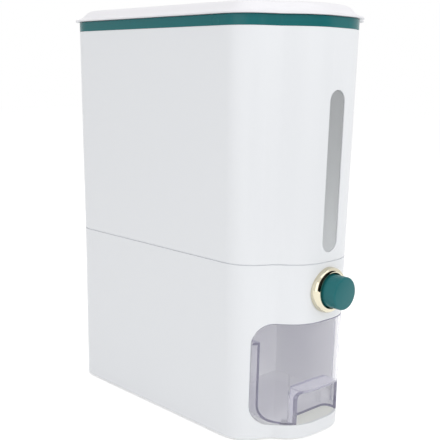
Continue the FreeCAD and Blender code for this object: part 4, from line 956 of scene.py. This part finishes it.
class DISPENSER_OT_spring(bpy.types.Operator):
    """Winds the button's return spring"""

    bl_idname = "dispenser.spring"
    bl_label = "Return spring"

    def execute(self, context):
        low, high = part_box("return_spring")
        wire = context.scene.dispenser_body.spring_wire / 2
        mesh = run_tree(spring_tree("spring"), bpy.data.meshes.new("Spring_seed"), {
            "Coils": 6.5, "Radius": (high.x - low.x) / 2 - wire, "Wire radius": wire,
            "Length": high.y - low.y - 2 * wire})
        mesh.transform(Matrix.Translation((0, low.y + wire, (low.z + high.z) / 2))
                       @ Matrix.Rotation(-math.pi / 2, 4, "X"))
        soften(mesh)
        spring = new_piece("Return_spring", mesh, "housing", ["return_spring"], "spring")
        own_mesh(spring)
        return {"FINISHED"}


def set_back_rails(mesh):
    """Starts the top rails of the drawer's bay further in, out of sight behind the opening's edge."""
    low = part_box("drawer_bay")[0]
    for vertex in mesh.vertices:
        place = vertex.co
        is_rail = RAIL_FOOT < place.z < RAIL_TOP and abs(place.x) > RAIL_SIDE
        if is_rail and place.y < low.y + RAIL_FRONT:
            place.y += RAIL_SET_BACK


class DISPENSER_OT_inner(bpy.types.Operator):
    """Dresses the pieces inside and under the base"""

    bl_idname = "dispenser.inner"
    bl_label = "Inner pieces"

    def execute(self, context):
        for name, node, body, slot, finish in INNER_PIECES:
            piece = dressed(name, node, body, finish)
            if node == "drawer_bay":
                set_back_rails(piece.data)
        return {"FINISHED"}


LAMP_AIM = (0.0, 0.0, 0.2)
# corners of the dark card, in metres: down its right edge, then back up its left edge
CARD_EDGE = [
    (0.244, -0.324, 0.156), (0.219, -0.344, 0.138), (0.198, -0.357, 0.123), (0.187, -0.358, 0.100),
    (0.180, -0.359, 0.080), (-0.289, -0.274, 0.146), (-0.227, -0.253, 0.339), (-0.011, -0.296, 0.421),
    (0.186, -0.309, 0.329), (0.252, -0.308, 0.203),
]


def area_lamp(name, place, aim, size, power):
    """A large soft lamp that faces a point."""
    light = bpy.data.lights.new(name, "AREA")
    light.shape = "RECTANGLE"
    light.size, light.size_y = size
    light.energy = power
    lamp = bpy.data.objects.new(name, light)
    bpy.context.scene.collection.objects.link(lamp)
    lamp.location = place
    lamp.rotation_euler = (Vector(aim) - Vector(place)).to_track_quat("-Z", "Y").to_euler()
    return lamp


class DISPENSER_OT_stage(bpy.types.Operator):
    """Builds the floor, the lamps, the room and the camera"""

    bl_idname = "dispenser.stage"
    bl_label = "Stage"

    def execute(self, context):
        scene = context.scene
        settings = scene.dispenser_stage
        half = settings.floor_size / 2
        mesh = bpy.data.meshes.new("Floor")
        mesh.from_pydata([(-half, -half, 0), (half, -half, 0), (half, half, 0), (-half, half, 0)], [],
                         [(0, 1, 2, 3)])
        floor = bpy.data.objects.new("Floor", mesh)
        scene.collection.objects.link(floor)
        mesh.materials.append(pale_floor("Floor_matt_paper", settings.floor_colour, settings.floor_glow))

        world = bpy.data.worlds.new("Room")
        world.use_nodes = True
        tree = world.node_tree
        tree.nodes.clear()
        room = add_node(tree, "ShaderNodeBackground", Strength=settings.world_strength)
        wall = add_node(tree, "ShaderNodeBackground", Strength=1.0)
        seen = seen_ray(tree)
        for background in (room, wall):
            background.inputs["Color"].default_value = WHITE
        both = add_node(tree, "ShaderNodeMixShader", [(0, seen), (1, room.outputs[0]),
                                                      (2, wall.outputs[0])])
        add_node(tree, "ShaderNodeOutputWorld", [("Surface", both.outputs[0])])
        scene.world = world

        lamps = [
            area_lamp("Key_lamp", (-0.1, -1.75, 1.0), LAMP_AIM, (1.8, 1.2), settings.key_power),
            area_lamp("Side_lamp", (-1.7, -0.1, 0.7), LAMP_AIM, (1.2, 1.4), settings.side_power),
            area_lamp("Top_lamp", (0.0, 0.0, 1.8), LAMP_AIM, (1.6, 1.6), settings.top_power),
        ]

        card_mesh = bpy.data.meshes.new("Dark_card")
        strips = [(step, step + 1, 8 - step, 9 - step) for step in range(4)]
        card_mesh.from_pydata(CARD_EDGE, [], strips)
        card = bpy.data.objects.new("Dark_card", card_mesh)
        scene.collection.objects.link(card)
        card_mesh.materials.append(dark_card("Card_black_paper", hex_colour("#1A1712")))
        for ray in ("camera", "diffuse", "transmission", "volume_scatter", "shadow"):
            setattr(card, "visible_" + ray, False)

        camera = bpy.data.objects.new("Camera", bpy.data.cameras.new("Camera"))
        scene.collection.objects.link(camera)
        camera.data.sensor_width = 36.0
        camera.data.lens = settings.camera_lens
        camera.matrix_world = (
            Matrix.Translation(settings.camera_place)
            @ Matrix.Rotation(-settings.camera_heading, 4, "Z")
            @ Matrix.Rotation(math.pi / 2 - settings.camera_pitch, 4, "X")
            @ Matrix.Rotation(settings.camera_roll, 4, "Z"))
        scene.camera = camera
        scene.view_settings.view_transform = "Standard"
        return {"FINISHED"}


class DISPENSER_PT_panel(bpy.types.Panel):
    """Sidebar panel with the sizes, the colours and a button for each group of pieces"""

    bl_idname = "DISPENSER_PT_panel"
    bl_label = "Rice Dispenser"
    bl_space_type = "VIEW_3D"
    bl_region_type = "UI"
    bl_category = "Rice Dispenser"

    def draw(self, context):
        for settings in (context.scene.dispenser_body, context.scene.dispenser_finish,
                         context.scene.dispenser_stage):
            column = self.layout.column()
            for name in settings.bl_rna.properties.keys():
                if name not in ("rna_type", "name"):
                    column.prop(settings, name)
        for operator in OPERATORS:
            self.layout.operator(operator.bl_idname)


OPERATORS = (
    DISPENSER_OT_shells,
    DISPENSER_OT_trim,
    DISPENSER_OT_lid,
    DISPENSER_OT_window,
    DISPENSER_OT_button,
    DISPENSER_OT_drawer,
    DISPENSER_OT_inner,
    DISPENSER_OT_fasteners,
    DISPENSER_OT_spring,
    DISPENSER_OT_stage,
)
SETTINGS = {
    "dispenser_stage": StageSettings,
    "dispenser_finish": FinishSettings,
    "dispenser_body": BodySettings,
}


def register():
    """Adds the settings, the operators and the panel to Blender."""
    for group in SETTINGS.values():
        bpy.utils.register_class(group)
    for name, group in SETTINGS.items():
        setattr(bpy.types.Scene, name, PointerProperty(type=group))
    for item in (*OPERATORS, DISPENSER_PT_panel):
        bpy.utils.register_class(item)


def unregister():
    """Takes the settings, the operators and the panel out again."""
    for item in reversed((*OPERATORS, DISPENSER_PT_panel)):
        bpy.utils.unregister_class(item)
    for name, group in SETTINGS.items():
        delattr(bpy.types.Scene, name)
        bpy.utils.unregister_class(group)


def main():
    """Registers the add-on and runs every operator."""
    register()
    for operator in OPERATORS:
        group, action = operator.bl_idname.split(".")
        getattr(getattr(bpy.ops, group), action)()
    bpy.context.view_layer.update()


if __name__ == "__main__":
    main()
